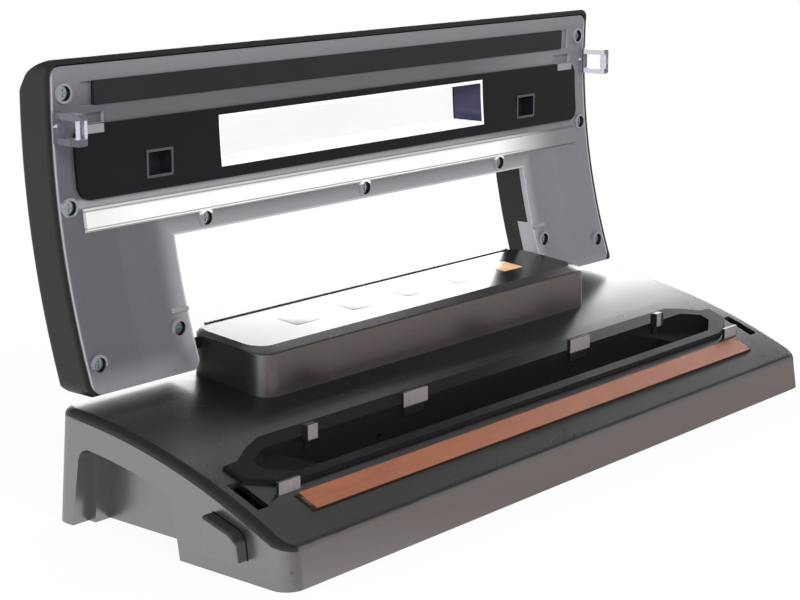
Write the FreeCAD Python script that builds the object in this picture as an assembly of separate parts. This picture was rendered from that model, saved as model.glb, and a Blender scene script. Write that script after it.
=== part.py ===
"""Vacuum sealer with its lid open. Millimetres, +Z up, -Y is the front that takes the bag.

The origin is the middle of the base's footprint on the surface that it stands on.
"""
import FreeCAD
import Part
import math
import os

V = FreeCAD.Vector
X_AXIS = V(1, 0, 0)
Y_AXIS = V(0, 1, 0)
FAR = 300.0                     # past every face, for cutting tools
PAST_BASE_Y = 75.0              # past the base's front and rear

# Base: footprint, walls and the arc of the deck in side view
BASE_HALF_WIDTH = 184.4
BASE_FRONT_Y = -63.6
BASE_REAR_Y = 63.2
BASE_LEAN = 0.047               # how much the end and rear walls lean in for each mm of height
BASE_FRONT_LEAN = 0.125         # and the front wall
BASE_TOP_Z = 50.0
BASE_CORNER_R = 8.0
SKIRT_Z = 0.2                   # the skirt hangs just clear of the surface, on the feet
BASE_WALL = 2.5
DECK_FRONT = (-56.0, 18.7)
DECK_REAR = (60.5, 46.5)
DECK_RADIUS = 300.0
DECK_EDGE_R = 3.4

# Hand recess in each side
RECESS_DEPTH = 15.5
RECESS_STEP_DEPTH = 8.0
RECESS_STEP_REAR = 4.0          # how far the recess draws in, behind its outer part
RECESS_STEP_ROOF = 0.8
RECESS_STEP_FRONT = 0.5
RECESS_WALL = 2.0

# Control housing on the deck
HOUSING_HALF_WIDTH = 114.4
HOUSING_FRONT_Y = 16.0
HOUSING_REAR_Y = 60.3
HOUSING_DRAFT = 0.9
HOUSING_CORNER_R = 9.0
HOUSING_WALL = 2.4
HOUSING_EDGE_R = 1.0
SHOULDER_RIM = 0.3              # level strip round the panel
SHOULDER_REACH = 6.4            # the top slopes down over this reach, outwards from that strip
SHOULDER_DROP = 1.7
REAR_LIP_HALF_WIDTH = 104.0
REAR_LIP_HEIGHT = 0.5
PANEL_PIVOT = (22.4, 61.7)      # the front edge of the panel's top in side view
PANEL_TILT = 5.3
PANEL_HALF_WIDTH = 110.0
PANEL_DEPTH = 36.5
PANEL_THICK = 1.0
PANEL_CORNER_R = 8.0

# Square pads of the panel
PAD_PITCH = 36.0
PAD_FIRST_X = -67.0
PAD_COUNT = 5
PAD_WIDTH = 14.2
PAD_LENGTH = 11.2
PAD_CENTRE_DEPTH = 18.1         # from the panel's front edge, along its slope
PAD_GAP = 0.25
PAD_PROUD = 0.08
PAD_EDGE_R = 0.2
PAD_TRAVEL = 0.6
PAD_FLANGE = 1.4
PAD_STEM_R = 2.0
BOARD_POST_R = 2.5
BOARD_POSTS_X = (-98.0, -13.0, 23.0, 98.0)
BOARD_POSTS_DEPTH = (5.0, 26.0)
KEY_STACK = 7.5                 # from the housing's top wall down to the board

# Trough, ring gasket, bag stops and guide blocks
RING_SLOPE = 0.34
RING_BEVEL = 0.8
RING_POINT = (-17.25, 35.4)     # a point of the ring's top in side view
TROUGH_REAR_Y = -15.5
TROUGH_FRONT_Y = -32.2
TROUGH_END_X = 157.5
TROUGH_WALL = 1.8
TROUGH_GAP = 0.2
TROUGH_FLANGE = 4.0
TROUGH_FLOOR_Z = 20.0
POCKET_FLOOR_Z = 27.0
POCKET_X = 127.0
STOP_TOP_Z = 40.9
STOP_LOW_Z = 34.7               # below this a stop is only a thin stem on the wall
STOP_STEM = 0.9
STOP_STEM_INSET = 1.2
STOP_FOOT_Z = 30.5
OUTER_STOP_X = 123.0
OUTER_STOP_WIDTH = 5.6
OUTER_STOP_THICK = 3.6
INNER_STOP_X = 58.7
INNER_STOP_WIDTH = 15.4
INNER_STOP_THICK = 1.8
GUIDE_X = (151.0, 162.4)
GUIDE_Y = (-38.5, -37.1)
GUIDE_TOP_Z = 31.0
GUIDE_POCKET_X = (149.8, 163.6) # in the lid's cover, for the guide blocks when it is down
GUIDE_POCKET_Z = (153.2, 157.4)
GUIDE_POCKET_DEPTH = 1.7

# Heat strip
HEAT_HALF_LENGTH = 155.0
HEAT_CENTRE = (-46.0, 24.25)
HEAT_TILT = 23.2
HEAT_WIDTH = 9.9
HEAT_GAP = 0.2
TAPE_THICK = 0.25
WIRE_THICK = 0.2
WIRE_WIDTH = 5.0
HEAT_BAR_DEPTH = 7.0

# Latch slots, hooks, release buttons and catches
SLOT_X = (170.6, 176.5)
SLOT_Y = (-41.6, -25.4)
HOOK_X = (171.7, 175.3)
HOOK_Z = (147.2, 159.5)
HOOK_FRONT_Y = 49.5
HOOK_BAR = 2.6
HOOK_CORNER_R = 1.2
BUTTON_FACE_X = 189.5
BUTTON_GAP = 0.4
BUTTON_FLANGE_X = (178.3, 180.0)
BUTTON_FLANGE = 1.3
CATCH_X = (166.0, 178.3)        # to the inner side of the button's flange
CATCH_Y = (-34.5, -29.5)
CATCH_ARM_Z = (6.4, 9.0)
CATCH_TOP_Z = 24.5
CATCH_WALL = 2.4
TONGUE_GAP = 0.5                # the tongue ends short of the hook, so that the lid opens freely
SPRING_CENTRE = (-32.0, 13.5)
SPRING_R = 2.6
SPRING_WIRE_R = 0.4
SPRING_X = (156.0, 165.8)
SPRING_TURNS = 5

# Lid, drawn open, and its hinge
HINGE_Y = 54.55
HINGE_Z = 59.5
PIN_R = 2.5
PIN_CLEARANCE = 0.05
PIN_X = (104.0, 124.5)
LID_HALF_WIDTH = 178.0
LID_RADIUS = 310.0              # of the inner face in side view
LID_CENTRE = (65.4 - 310.0, 158.0)
LID_DEPTH = 17.2
LID_TOP_Z = 179.1
LID_BOTTOM_Z = 49.6
LID_WALL = 2.2
LID_EDGE_R = 2.5
LID_CORNER_R = 6.0
LID_BROW = (12.0, 6.2)          # depth and drop of the round brow behind its top
LID_BEVEL_DROP = 14.6           # from the top to where the bevel meets the back
LID_SWEEP = (24.0, 8.0)         # the slab's reach below and above its arc's middle, in degrees
LID_FRONT_R = 1.2
ARM_CORNER_R = 5.0
COVER_THICK = 2.4
COVER_X = (-175.6, 175.6)
COVER_Z = (51.1, 176.3)
COVER_CORNER_R = 4.5
COVER_SEAM = 0.5                # gap between the cover and the shell round it
NOTCH_HALF_WIDTH = 118.3
NOTCH_TOP_Z = 104.4
LUG_X = (118.3, 120.5)         # flush in the wall of the notch
LUG_Z = (55.2, 77.0)
LUG_DEPTH = 8.6
WINDOW_HALF_WIDTH = 87.3
WINDOW_Z = (130.3, 148.7)
WINDOW_LINER = 1.5
WINDOW_PANE = 2.0
CHAMBER_HALF_WIDTH = 166.0
CHAMBER_Z = (124.0, 153.0)
CHAMBER_THICK = 1.5
CHAMBER_CORNER_R = 6.0
TAB_X = (151.0, 163.0)          # clear tabs of the cover in the pad's upper corners
TAB_Z = (149.6, 153.0)
SOCKET_WIDTH = 14.6
SOCKET_Z = (128.7, 140.2)
SOCKET_WALL = 1.1
SOCKET_FRONT = -1.7             # before the inner face
SOCKET_FLOOR = 5.3              # behind the inner face
RUBBER_Z = (160.3, 169.8)
RUBBER_PROUD = 1.0
RUBBER_GROOVE = 1.2
GROOVE_HALF_LENGTH = 161.5
RUBBER_CORNER_R = 1.0
RIB_HALF_WIDTH = 164.0
RIB_Z = (111.5, 120.8)
RIB_PROUD = 1.6
RIB_BEVEL = 1.0
ARM_RIB_X = (118.3, 127.6)      # short rib beside the lower inner screw
ARM_RIB_Z = (74.4, 76.2)
ARM_RIB_PROUD = 0.8
SCREW_SPOTS = ((169.5, 166.0), (170.3, 122.1), (169.5, 62.0), (125.1, 68.2), (99.6, 108.9), (0.0, 108.9))
SCREW_HEAD_R = 2.6
SCREW_HEAD_H = 1.5
SCREW_SUNK = 0.5
SCREW_SHANK_R = 1.4
SCREW_LENGTH = 9.0
SCREW_BOSS_R = 3.6

# Underside and inside
PLATE_Z = (2.0, 4.0)
PLATE_GAP = 0.4
FOOT_R = 7.0
FOOT_SPOTS = ((150.0, -47.0), (140.0, 49.0))
BASE_SCREW_SPOTS = ((142.0, -3.5), (100.0, -56.0), (118.0, 53.0))
BASE_SCREW_R = 1.5
BASE_SCREW_HEAD_R = 3.0
BASE_BOSS_R = 4.0
BASE_SCREW_TOP_Z = 14.0
PUMP_X = (-96.0, -62.0)
PUMP_Y = (20.0, 50.0)
PUMP_TOP_Z = 36.0
MOTOR_R = 13.0
MOTOR_LENGTH = 42.0
HOSE_X = -80.0
HOSE_Z = 25.0
HOSE_R = 4.0
HOSE_BORE_R = 2.5
BOARD_X = (20.0, 108.0)
BOARD_Y = (6.0, 52.0)
BOARD_Z = (9.0, 10.6)
TRANSFORMER = (36.0, 72.0, 12.0, 44.0, 32.0)
GLAND_X = 142.0
GLAND_Z = 16.0
GLAND_R = 5.5
GLAND_BORE_R = 3.5


def box(x_span, y_span, z_span):
    """Block between the two ends of each span."""
    size = V(x_span[1] - x_span[0], y_span[1] - y_span[0], z_span[1] - z_span[0])
    return Part.makeBox(size.x, size.y, size.z, V(x_span[0], y_span[0], z_span[0]))


def rod(radius, start, end):
    """Round bar from one point to another."""
    way = end.sub(start)
    return Part.makeCylinder(radius, way.Length, start, way)


def mirrored(shape):
    """The same shape on the other side of the middle plane."""
    return shape.mirror(V(0, 0, 0), X_AXIS)


def both_sides(shape):
    """The shape and its mirror image."""
    return [shape, mirrored(shape)]


def on_x(point):
    """A (y, z) point in the plane x = 0."""
    return V(0, point[0], point[1])


def outline_x(start, *steps):
    """Closed side-view face: each step is an end point, or a (middle, end) pair for an arc."""
    edges = []
    here = start
    for step in steps:
        if isinstance(step[0], tuple):
            edges.append(Part.Arc(on_x(here), on_x(step[0]), on_x(step[1])).toShape())
            here = step[1]
        else:
            edges.append(Part.LineSegment(on_x(here), on_x(step)).toShape())
            here = step
    if here != start:
        edges.append(Part.LineSegment(on_x(here), on_x(start)).toShape())
    return Part.Face(Part.Wire(edges))


def prism_x(face, x_span):
    """Side-view face drawn out along X."""
    solid = face.extrude(V(x_span[1] - x_span[0], 0, 0))
    solid.translate(V(x_span[0], 0, 0))
    return solid


def prism_z(points, z_span):
    """Plan-view polygon drawn up along Z."""
    corners = [V(x, y, z_span[0]) for x, y in points]
    return Part.Face(Part.makePolygon(corners + corners[:1])).extrude(V(0, 0, z_span[1] - z_span[0]))


def rounded_wire(x_half, y_span, front_radius, z, rear_radius=None):
    """Rectangle with round corners at one height; the rear ones may have their own radius."""
    front, rear = y_span
    corners = ((x_half, front, -1, 1), (x_half, rear, -1, -1), (-x_half, rear, 1, -1), (-x_half, front, 1, 1))
    arcs = []
    for turn, (x, y, in_x, in_y) in enumerate(corners):
        radius = rear_radius if rear_radius and y == rear else front_radius
        nook = radius * (1 - math.sqrt(0.5))
        ends = [V(x + in_x * radius, y, z), V(x, y + in_y * radius, z)]
        if turn % 2:
            ends.reverse()
        arcs.append((ends[0], V(x + in_x * nook, y + in_y * nook, z), ends[1]))
    edges = []
    for turn, (start, middle, end) in enumerate(arcs):
        edges.append(Part.LineSegment(arcs[turn - 1][2], start).toShape())
        edges.append(Part.Arc(start, middle, end).toShape())
    return Part.Wire(edges)


def drafted_block(x_half, y_span, radius, draft, z_span):
    """Block with round corners whose walls lean in by draft at its top."""
    low = rounded_wire(x_half, y_span, radius, z_span[0])
    high = rounded_wire(x_half - draft, (y_span[0] + draft, y_span[1] - draft), radius, z_span[1])
    return Part.makeLoft([low, high], True, True)


def arc_centre(start, end, radius):
    """Centre, below the chord, of the arc that joins two side-view points."""
    chord = (end[0] - start[0], end[1] - start[1])
    length = math.hypot(*chord)
    drop = math.sqrt(radius ** 2 - length ** 2 / 4)
    middle = ((start[0] + end[0]) / 2, (start[1] + end[1]) / 2)
    return (middle[0] + chord[1] / length * drop, middle[1] - chord[0] / length * drop)


DECK_CENTRE = arc_centre(DECK_FRONT, DECK_REAR, DECK_RADIUS)


def deck_z(y, rise=0.0):
    """Height of the deck, or of a surface that runs parallel to it."""
    return DECK_CENTRE[1] + math.sqrt((DECK_RADIUS + rise) ** 2 - (y - DECK_CENTRE[0]) ** 2)


def under_deck(rise=0.0):
    """Everything below the deck's surface, or below a surface that runs parallel to it."""
    front, rear = (-PAST_BASE_Y, PAST_BASE_Y)
    face = outline_x(
        (front, -FAR),
        (front, deck_z(front, rise)),
        ((0.0, deck_z(0.0, rise)), (rear, deck_z(rear, rise))),
        (rear, -FAR),
    )
    return prism_x(face, (-FAR, FAR))


def ring_z(y):
    """Height of the ring gasket's top."""
    return RING_POINT[1] + RING_SLOPE * (y - RING_POINT[0])


def base_plan(inset, z):
    """Half width, and front and rear, of the base's walls at one height, moved in by inset."""
    rise = z - SKIRT_Z
    x_half = BASE_HALF_WIDTH - BASE_LEAN * rise - inset
    front = BASE_FRONT_Y + BASE_FRONT_LEAN * rise + inset
    rear = BASE_REAR_Y - BASE_LEAN * rise - inset
    return x_half, (front, rear)


def base_block(inset, bottom):
    """The base's outer form, or the hollow in it when inset is its wall."""
    rings = []
    for z in (bottom, BASE_TOP_Z):
        x_half, y_span = base_plan(inset, z)
        rings.append(rounded_wire(x_half, y_span, BASE_CORNER_R - inset, z))
    return Part.makeLoft(rings, True, True).common(under_deck(-inset))


def deck_rim_edges(solid):
    """Edges where the deck meets the walls."""
    rim = []
    for edge in solid.Edges:
        middle = edge.valueAt((edge.FirstParameter + edge.LastParameter) / 2)
        on_deck = all(abs(v.Point.z - deck_z(v.Point.y)) < 0.05 for v in edge.Vertexes)
        if on_deck and abs(middle.z - deck_z(middle.y)) < 0.05:
            rim.append(edge)
    return rim


def recess_outline(rear, roof, front):
    """Arch of a hand recess, open at the bottom, with its walls and roof drawn in."""
    return outline_x(
        (51.5 - rear, -FAR),
        (51.5 - rear, 1.0),
        (48.6 - rear, 26.0 - roof),
        ((46.7 - rear, 30.4 - roof), (42.0 - rear, 32.0 - roof)),
        ((20.0, 29.0 - roof), (2.0 + front, 25.3 - roof)),
        ((-1.9 + front, 23.2 - roof), (-4.2 + front, 19.5 - roof)),
        (-8.4 + front, 1.0),
        (-8.4 + front, -FAR),
    )


def recess_block(grow):
    """Space of the right hand recess, or its lining when grow is the lining's wall."""
    outer_x = BASE_HALF_WIDTH + 5.0
    step_x = BASE_HALF_WIDTH - RECESS_STEP_DEPTH
    inner_x = BASE_HALF_WIDTH - RECESS_DEPTH
    draws = (RECESS_STEP_REAR, RECESS_STEP_ROOF, RECESS_STEP_FRONT)
    blocks = []
    for draw, x_span in (((0.0, 0.0, 0.0), (step_x, outer_x)), (draws, (inner_x, step_x))):
        block = prism_x(recess_outline(*draw), x_span)
        if grow:
            block = block.makeOffsetShape(grow, 0.01, join=2)
        blocks.append(block)
    return blocks[0].fuse(blocks[1])


def trough_polygon(grow):
    """Plan of the trough's mouth, grown outwards."""
    rear = TROUGH_REAR_Y + grow
    front = TROUGH_FRONT_Y - grow
    end = TROUGH_END_X + grow
    right = ((146.0, front), (end, -25.5), (end, -20.5), (147.0, rear))
    return right + tuple((-x, y) for x, y in reversed(right))


def ring_polygon():
    """Plan of the ring gasket's outer edge, with its end plates."""
    right = (
        (150.0, -36.8),
        (159.7, -33.2),
        (169.8, -27.4),
        (169.8, -17.2),
        (163.0, -17.0),
        (152.6, -11.5),
        (143.0, -8.0),
    )
    return right + tuple((-x, y) for x, y in reversed(right))


def heat_block(width, x_half, depth_span):
    """Long block in the heat strip's tilted frame; depth is counted from the tape's top."""
    block = box((-x_half, x_half), (-width / 2, width / 2), depth_span)
    block.rotate(V(0, 0, 0), X_AXIS, HEAT_TILT)
    block.translate(V(0, *HEAT_CENTRE))
    return block


def button_outline(grow):
    """Side view of a release button, with its top along the deck."""
    return outline_x(
        (-24.3 + grow, 7.8 - grow),
        (-25.6 + grow, 22.6 + grow),
        (-36.6, 19.4 + grow),
        ((-40.7 - grow * 0.7, 17.3 + grow * 0.7), (-42.6 - grow, 13.4)),
        (-43.4 - grow, 8.6 - grow),
    )


def pad_x(index):
    """Middle of a pad along the panel."""
    return PAD_FIRST_X + PAD_PITCH * index


def on_panel(shape):
    """Move a shape from the panel's own frame, front edge at y = 0 and top at z = 0, to its place."""
    shape.rotate(V(0, 0, 0), X_AXIS, PANEL_TILT)
    shape.translate(V(0, *PANEL_PIVOT))
    return shape


def pad_block(index, grow, depth_span):
    """Upright block under one pad's outline, in the panel's own frame."""
    x = pad_x(index)
    half_w = PAD_WIDTH / 2 + grow
    half_l = PAD_LENGTH / 2 + grow
    y_span = (PAD_CENTRE_DEPTH - half_l, PAD_CENTRE_DEPTH + half_l)
    return box((x - half_w, x + half_w), y_span, depth_span)


def lid_y(z, back=0.0):
    """The lid's inner face in side view, or a surface behind it."""
    return LID_CENTRE[0] + math.sqrt((LID_RADIUS + back) ** 2 - (z - LID_CENTRE[1]) ** 2)


def lid_layer(back_span, z_span, x_span):
    """Slice of the lid between two depths behind its inner face."""
    low, high = z_span
    middle = (low + high) / 2
    front, back = back_span
    face = outline_x(
        (lid_y(low, front), low),
        ((lid_y(middle, front), middle), (lid_y(high, front), high)),
        (lid_y(high, back), high),
        ((lid_y(middle, back), middle), (lid_y(low, back), low)),
    )
    return prism_x(face, x_span)


def lid_top_line(inset):
    """Side-view points of the lid's top: end of its flat, middle and end of its brow, end of its bevel."""
    top = LID_TOP_Z - inset
    brow = top - LID_BROW[1]
    shoulder = top - LID_BEVEL_DROP
    flat_end = (lid_y(top) + 1.5, top)
    brow_middle = (lid_y(top) + 7.9, top - 2.5)
    brow_end = (lid_y(brow) + LID_BROW[0], brow)
    return flat_end, brow_middle, brow_end, (lid_y(shoulder, LID_DEPTH - inset), shoulder)


def lid_slab():
    """The lid's curved slab, with round long edges and no ends."""
    middle_z = LID_CENTRE[1]
    y_span = (lid_y(middle_z), lid_y(middle_z, LID_DEPTH))
    section = Part.Face(rounded_wire(LID_HALF_WIDTH, y_span, LID_FRONT_R, middle_z, LID_EDGE_R))
    section.rotate(on_x(LID_CENTRE), X_AXIS, -LID_SWEEP[0])
    return section.revolve(on_x(LID_CENTRE), X_AXIS, sum(LID_SWEEP))


def past_lid_top():
    """Everything above the lid's flat, brow and bevel."""
    flat_end, brow_middle, brow_end, shoulder = lid_top_line(0.0)
    past = (2 * shoulder[0] - brow_end[0], 2 * shoulder[1] - brow_end[1])
    face = outline_x(
        (-FAR, LID_TOP_Z),
        flat_end,
        (brow_middle, brow_end),
        past,
        (FAR, past[1]),
        (FAR, FAR),
        (-FAR, FAR),
    )
    return prism_x(face, (-FAR, FAR))


def under_lid_end():
    """Everything below the lid's rear end, which is bevelled so that it clears the deck."""
    low = LID_BOTTOM_Z
    heel = (lid_y(low + 1.0, LID_DEPTH) - 3.0, low)
    rise = 8.0
    face = outline_x(
        (-FAR, -FAR),
        (-FAR, low + 1.5),
        (lid_y(low + 1.5), low + 1.5),
        (lid_y(low) + 4.6, low),
        heel,
        (heel[0] + rise, low + rise),
        (FAR, low + rise),
        (FAR, -FAR),
    )
    return prism_x(face, (-FAR, FAR))


def lid_corners(inset):
    """What rounds the lid's four upright corners, or those of the hollow in it."""
    x = LID_HALF_WIDTH - inset
    radius = LID_CORNER_R - inset
    upper = corner_trims((x, LID_TOP_Z - inset), (-1, -1), radius)
    return upper + corner_trims((x, LID_BOTTOM_Z + inset), (-1, 1), radius)


def lid_form():
    """The lid's outer form."""
    return cut_all(lid_slab(), [past_lid_top(), under_lid_end()] + lid_corners(0.0))


def lid_hollow():
    """The space in the lid inside its walls."""
    top = LID_TOP_Z - LID_WALL
    bottom = LID_BOTTOM_Z + LID_WALL
    back = LID_DEPTH - LID_WALL
    middle = (top + bottom) / 2
    flat_end, brow_middle, brow_end, shoulder = lid_top_line(LID_WALL)
    face = outline_x(
        (lid_y(bottom), bottom),
        ((lid_y(middle), middle), (lid_y(top), top)),
        flat_end,
        (brow_middle, brow_end),
        shoulder,
        ((lid_y(middle, back), middle), (lid_y(bottom + 4.0, back), bottom + 4.0)),
        (lid_y(bottom, back) - 4.0, bottom),
    )
    half = LID_HALF_WIDTH - LID_WALL
    return cut_all(prism_x(face, (-half, half)), lid_corners(LID_WALL))


def upright_plate(x_half, z_span, radius):
    """Thick upright plate with round corners, for trimming the lid's layers."""
    face = Part.Face(rounded_wire(x_half, z_span, radius, -FAR))
    plate = face.extrude(V(0, 0, 2 * FAR))
    plate.rotate(V(0, 0, 0), X_AXIS, 90.0)
    return plate


def notch_block(grow):
    """Space for the control housing between the lid's two arms."""
    half = NOTCH_HALF_WIDTH + grow
    return box((-half, half), (-FAR, FAR), (0.0, NOTCH_TOP_Z + grow))


def corner_trims(corner, inwards, radius):
    """What rounds an upright corner of the lid at (x, z), and its mirror image."""
    middle = [at + way * radius for at, way in zip(corner, inwards)]
    spans = [sorted((at - way, end)) for at, way, end in zip(corner, inwards, middle)]
    block = box(spans[0], (-FAR, FAR), spans[1])
    keep = rod(radius, V(middle[0], -FAR, middle[1]), V(middle[0], FAR, middle[1]))
    return both_sides(block.cut(keep))


def arm_corner_trims(bottom):
    """What rounds the lower inner corner of each arm."""
    return corner_trims((NOTCH_HALF_WIDTH, bottom), (1, 1), ARM_CORNER_R)


def window_block(grow):
    """Space of the viewing window through the lid."""
    half = WINDOW_HALF_WIDTH + grow
    return box((-half, half), (-FAR, FAR), (WINDOW_Z[0] - grow, WINDOW_Z[1] + grow))


def screw_places():
    """Middle of each lid screw's head: x and height, both sides."""
    places = []
    for x, z in SCREW_SPOTS:
        places.append((x, z))
        if x > 0:
            places.append((-x, z))
    return places


def lid_rods(radius, back_span):
    """One bar at each lid screw, between two depths behind the inner face."""
    bars = []
    for x, z in screw_places():
        face_y = lid_y(z)
        bars.append(rod(radius, V(x, face_y + back_span[0], z), V(x, face_y + back_span[1], z)))
    return bars


def spots(places):
    """The listed plan places and their mirror images."""
    return [(side * x, y) for x, y in places for side in (1, -1)]


def upright_rods(places, radius, z_span):
    """One upright bar at each plan place and its mirror image."""
    return [rod(radius, V(x, y, z_span[0]), V(x, y, z_span[1])) for x, y in spots(places)]


def group(shapes):
    """Separate solids in one node."""
    return Part.makeCompound(shapes)


def hinge_bore():
    """Running bore round the hinge axis, through both arms."""
    end_x = PIN_X[1] + 0.6
    return rod(PIN_R + PIN_CLEARANCE, V(-end_x, HINGE_Y, HINGE_Z), V(end_x, HINGE_Y, HINGE_Z))


def cut_all(shape, tools):
    """Cut the tools one after another."""
    for tool in tools:
        shape = shape.cut(tool)
    return shape


def base_form():
    """The base's outer form with its round deck edge."""
    block = base_block(0.0, SKIRT_Z)
    return block.makeFillet(DECK_EDGE_R, deck_rim_edges(block))


def base_housing():
    """Deck and walls in one shell, with every opening cut in it."""
    outer = base_form()
    shell = outer.cut(base_block(BASE_WALL, -FAR))
    channel_width = HEAT_WIDTH + 2 * (HEAT_GAP + TROUGH_WALL)
    channel_depth = (-HEAT_BAR_DEPTH - TROUGH_WALL, 0.0)
    channel = heat_block(channel_width, HEAT_HALF_LENGTH + 4.0, channel_depth).common(outer)
    lining = recess_block(RECESS_WALL).common(outer)
    bosses = upright_rods(BASE_SCREW_SPOTS, BASE_BOSS_R, (PLATE_Z[1], BASE_TOP_Z))
    shell = shell.multiFuse(both_sides(lining) + [boss.common(outer) for boss in bosses] + [channel])
    inner_x = HOUSING_HALF_WIDTH - 12.0
    inner_y = (HOUSING_FRONT_Y + 8.0, HOUSING_REAR_Y - 8.0)
    cuts = both_sides(recess_block(0.0))
    cuts += upright_rods(BASE_SCREW_SPOTS, BASE_SCREW_R, (0.0, BASE_SCREW_TOP_Z))
    cuts += both_sides(box(SLOT_X, SLOT_Y, (0.0, FAR)))
    cuts += both_sides(prism_x(button_outline(BUTTON_GAP), (BUTTON_FLANGE_X[1], FAR)))
    cuts.append(prism_z(trough_polygon(TROUGH_WALL + TROUGH_GAP), (0.0, FAR)))
    cuts.append(heat_block(HEAT_WIDTH + 2 * HEAT_GAP, HEAT_HALF_LENGTH + 2.0, (-HEAT_BAR_DEPTH, 5.0)))
    cuts.append(box((-inner_x, inner_x), inner_y, (20.0, FAR)))
    cuts.append(gland_rod(GLAND_R, (BASE_REAR_Y - 8.0, FAR)))
    return cut_all(shell, cuts)


def bottom_plate():
    """Floor of the base, with posts for the power board and for the latch springs."""
    inset = BASE_WALL + PLATE_GAP
    x_half, y_span = base_plan(inset, PLATE_Z[1])
    outline = rounded_wire(x_half, y_span, BASE_CORNER_R - inset, PLATE_Z[0])
    plate = Part.Face(outline).extrude(V(0, 0, PLATE_Z[1] - PLATE_Z[0]))
    low, high = BOARD_X
    corners = [(x, y) for x in (low + 4.0, high - 4.0) for y in (BOARD_Y[0] + 4.0, BOARD_Y[1] - 4.0)]
    posts = [rod(3.0, V(x, y, PLATE_Z[0]), V(x, y, BOARD_Z[0])) for x, y in corners]
    post_y = (SPRING_CENTRE[0] - 5.0, SPRING_CENTRE[0] + 5.0)
    post = box((SPRING_X[0] - 3.0, SPRING_X[0]), post_y, (PLATE_Z[0], SPRING_CENTRE[1] + 4.5))
    plate = plate.multiFuse(posts + both_sides(post))
    cuts = both_sides(recess_block(RECESS_WALL + PLATE_GAP))
    cuts += upright_rods(BASE_SCREW_SPOTS, BASE_SCREW_R + 0.2, (0.0, 10.0))
    return cut_all(plate, cuts)


def feet():
    """Rubber feet under the bottom plate, one of them in its middle."""
    middle = rod(FOOT_R, V(0, 0, 0), V(0, 0, PLATE_Z[0]))
    return group(upright_rods(FOOT_SPOTS, FOOT_R, (0.0, PLATE_Z[0])) + [middle])


def base_screws():
    """Screws that hold the bottom plate to the bosses of the base."""
    screws = []
    for x, y in spots(BASE_SCREW_SPOTS):
        head = rod(BASE_SCREW_HEAD_R, V(x, y, 0.6), V(x, y, PLATE_Z[0]))
        shank = rod(BASE_SCREW_R, V(x, y, PLATE_Z[0]), V(x, y, BASE_SCREW_TOP_Z - 0.5))
        screws.append(head.fuse(shank))
    return group(screws)


def housing_block(inset, z_span):
    """The control housing's outer form, or the hollow in it."""
    y_span = (HOUSING_FRONT_Y + inset, HOUSING_REAR_Y - inset)
    return drafted_block(HOUSING_HALF_WIDTH - inset, y_span, HOUSING_CORNER_R - inset, HOUSING_DRAFT, z_span)


def at_wall(edge):
    """Whether an edge lies on the housing's outer walls."""
    middle = edge.valueAt((edge.FirstParameter + edge.LastParameter) / 2)
    inside_x = abs(middle.x) < PANEL_HALF_WIDTH + 2.0
    inside_y = HOUSING_FRONT_Y + 2.5 < middle.y < HOUSING_REAR_Y - 1.2
    return not (inside_x and inside_y)


def under_panel(depth):
    """Everything more than depth below the panel's top."""
    return on_panel(box((-FAR, FAR), (-FAR, FAR), (-FAR, -depth)))


def panel_plate(depth_span):
    """The panel overlay's form in its own frame."""
    wire = rounded_wire(PANEL_HALF_WIDTH, (0.0, PANEL_DEPTH), PANEL_CORNER_R, depth_span[0])
    return Part.Face(wire).extrude(V(0, 0, depth_span[1] - depth_span[0]))


def housing_shoulder():
    """What the housing's top loses where it slopes away from the panel."""
    rim = SHOULDER_RIM
    foot = SHOULDER_RIM + SHOULDER_REACH
    high = rounded_wire(PANEL_HALF_WIDTH + rim, (-rim, PANEL_DEPTH + rim), PANEL_CORNER_R + rim, 0.0)
    low_span = (-foot, PANEL_DEPTH + foot)
    low = rounded_wire(PANEL_HALF_WIDTH + foot, low_span, PANEL_CORNER_R + foot, -SHOULDER_DROP)
    hill = Part.makeLoft([low, high], True, True)
    return on_panel(box((-FAR, FAR), (-FAR, FAR), (-SHOULDER_DROP, 9.0)).cut(hill))


def rear_lip():
    """Low lip of the housing along the panel's rear edge."""
    lip_y = (PANEL_DEPTH, PANEL_DEPTH + 4.0)
    return on_panel(box((-REAR_LIP_HALF_WIDTH, REAR_LIP_HALF_WIDTH), lip_y, (-1.5, REAR_LIP_HEIGHT)))


def control_housing():
    """Raised block on the deck that carries the panel and the hinge pins."""
    z_span = (30.0, 72.0)
    block = housing_block(0.0, z_span)
    outer = block.common(under_panel(0.0)).cut(housing_shoulder())
    foot = [edge for edge in outer.Edges if edge.BoundBox.ZMin > PANEL_PIVOT[1] - 4.0 and at_wall(edge)]
    outer = outer.makeFillet(HOUSING_EDGE_R, foot)
    hollow = housing_block(HOUSING_WALL, z_span).common(under_panel(PANEL_THICK + HOUSING_WALL))
    side_x = HOUSING_HALF_WIDTH - 2.0
    bosses = both_sides(rod(PIN_R + 2.5, V(PIN_X[0] - 2.0, HINGE_Y, HINGE_Z), V(side_x, HINGE_Y, HINGE_Z)))
    bosses = [boss.common(outer) for boss in bosses]
    low = -PANEL_THICK - HOUSING_WALL
    posts = [
        on_panel(rod(BOARD_POST_R, V(x, y, low + 0.5), V(x, y, low - KEY_STACK)))
        for x in BOARD_POSTS_X
        for y in BOARD_POSTS_DEPTH
    ]
    shell = outer.cut(hollow).multiFuse(bosses + posts + [rear_lip().common(block)])
    cuts = [base_form(), on_panel(panel_plate((-PANEL_THICK, 5.0)))]
    cuts += [on_panel(pad_block(i, PAD_GAP, (-12.0, 5.0))) for i in range(PAD_COUNT)]
    cuts += both_sides(rod(PIN_R, V(PIN_X[0], HINGE_Y, HINGE_Z), V(FAR, HINGE_Y, HINGE_Z)))
    return cut_all(shell, cuts)


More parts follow.
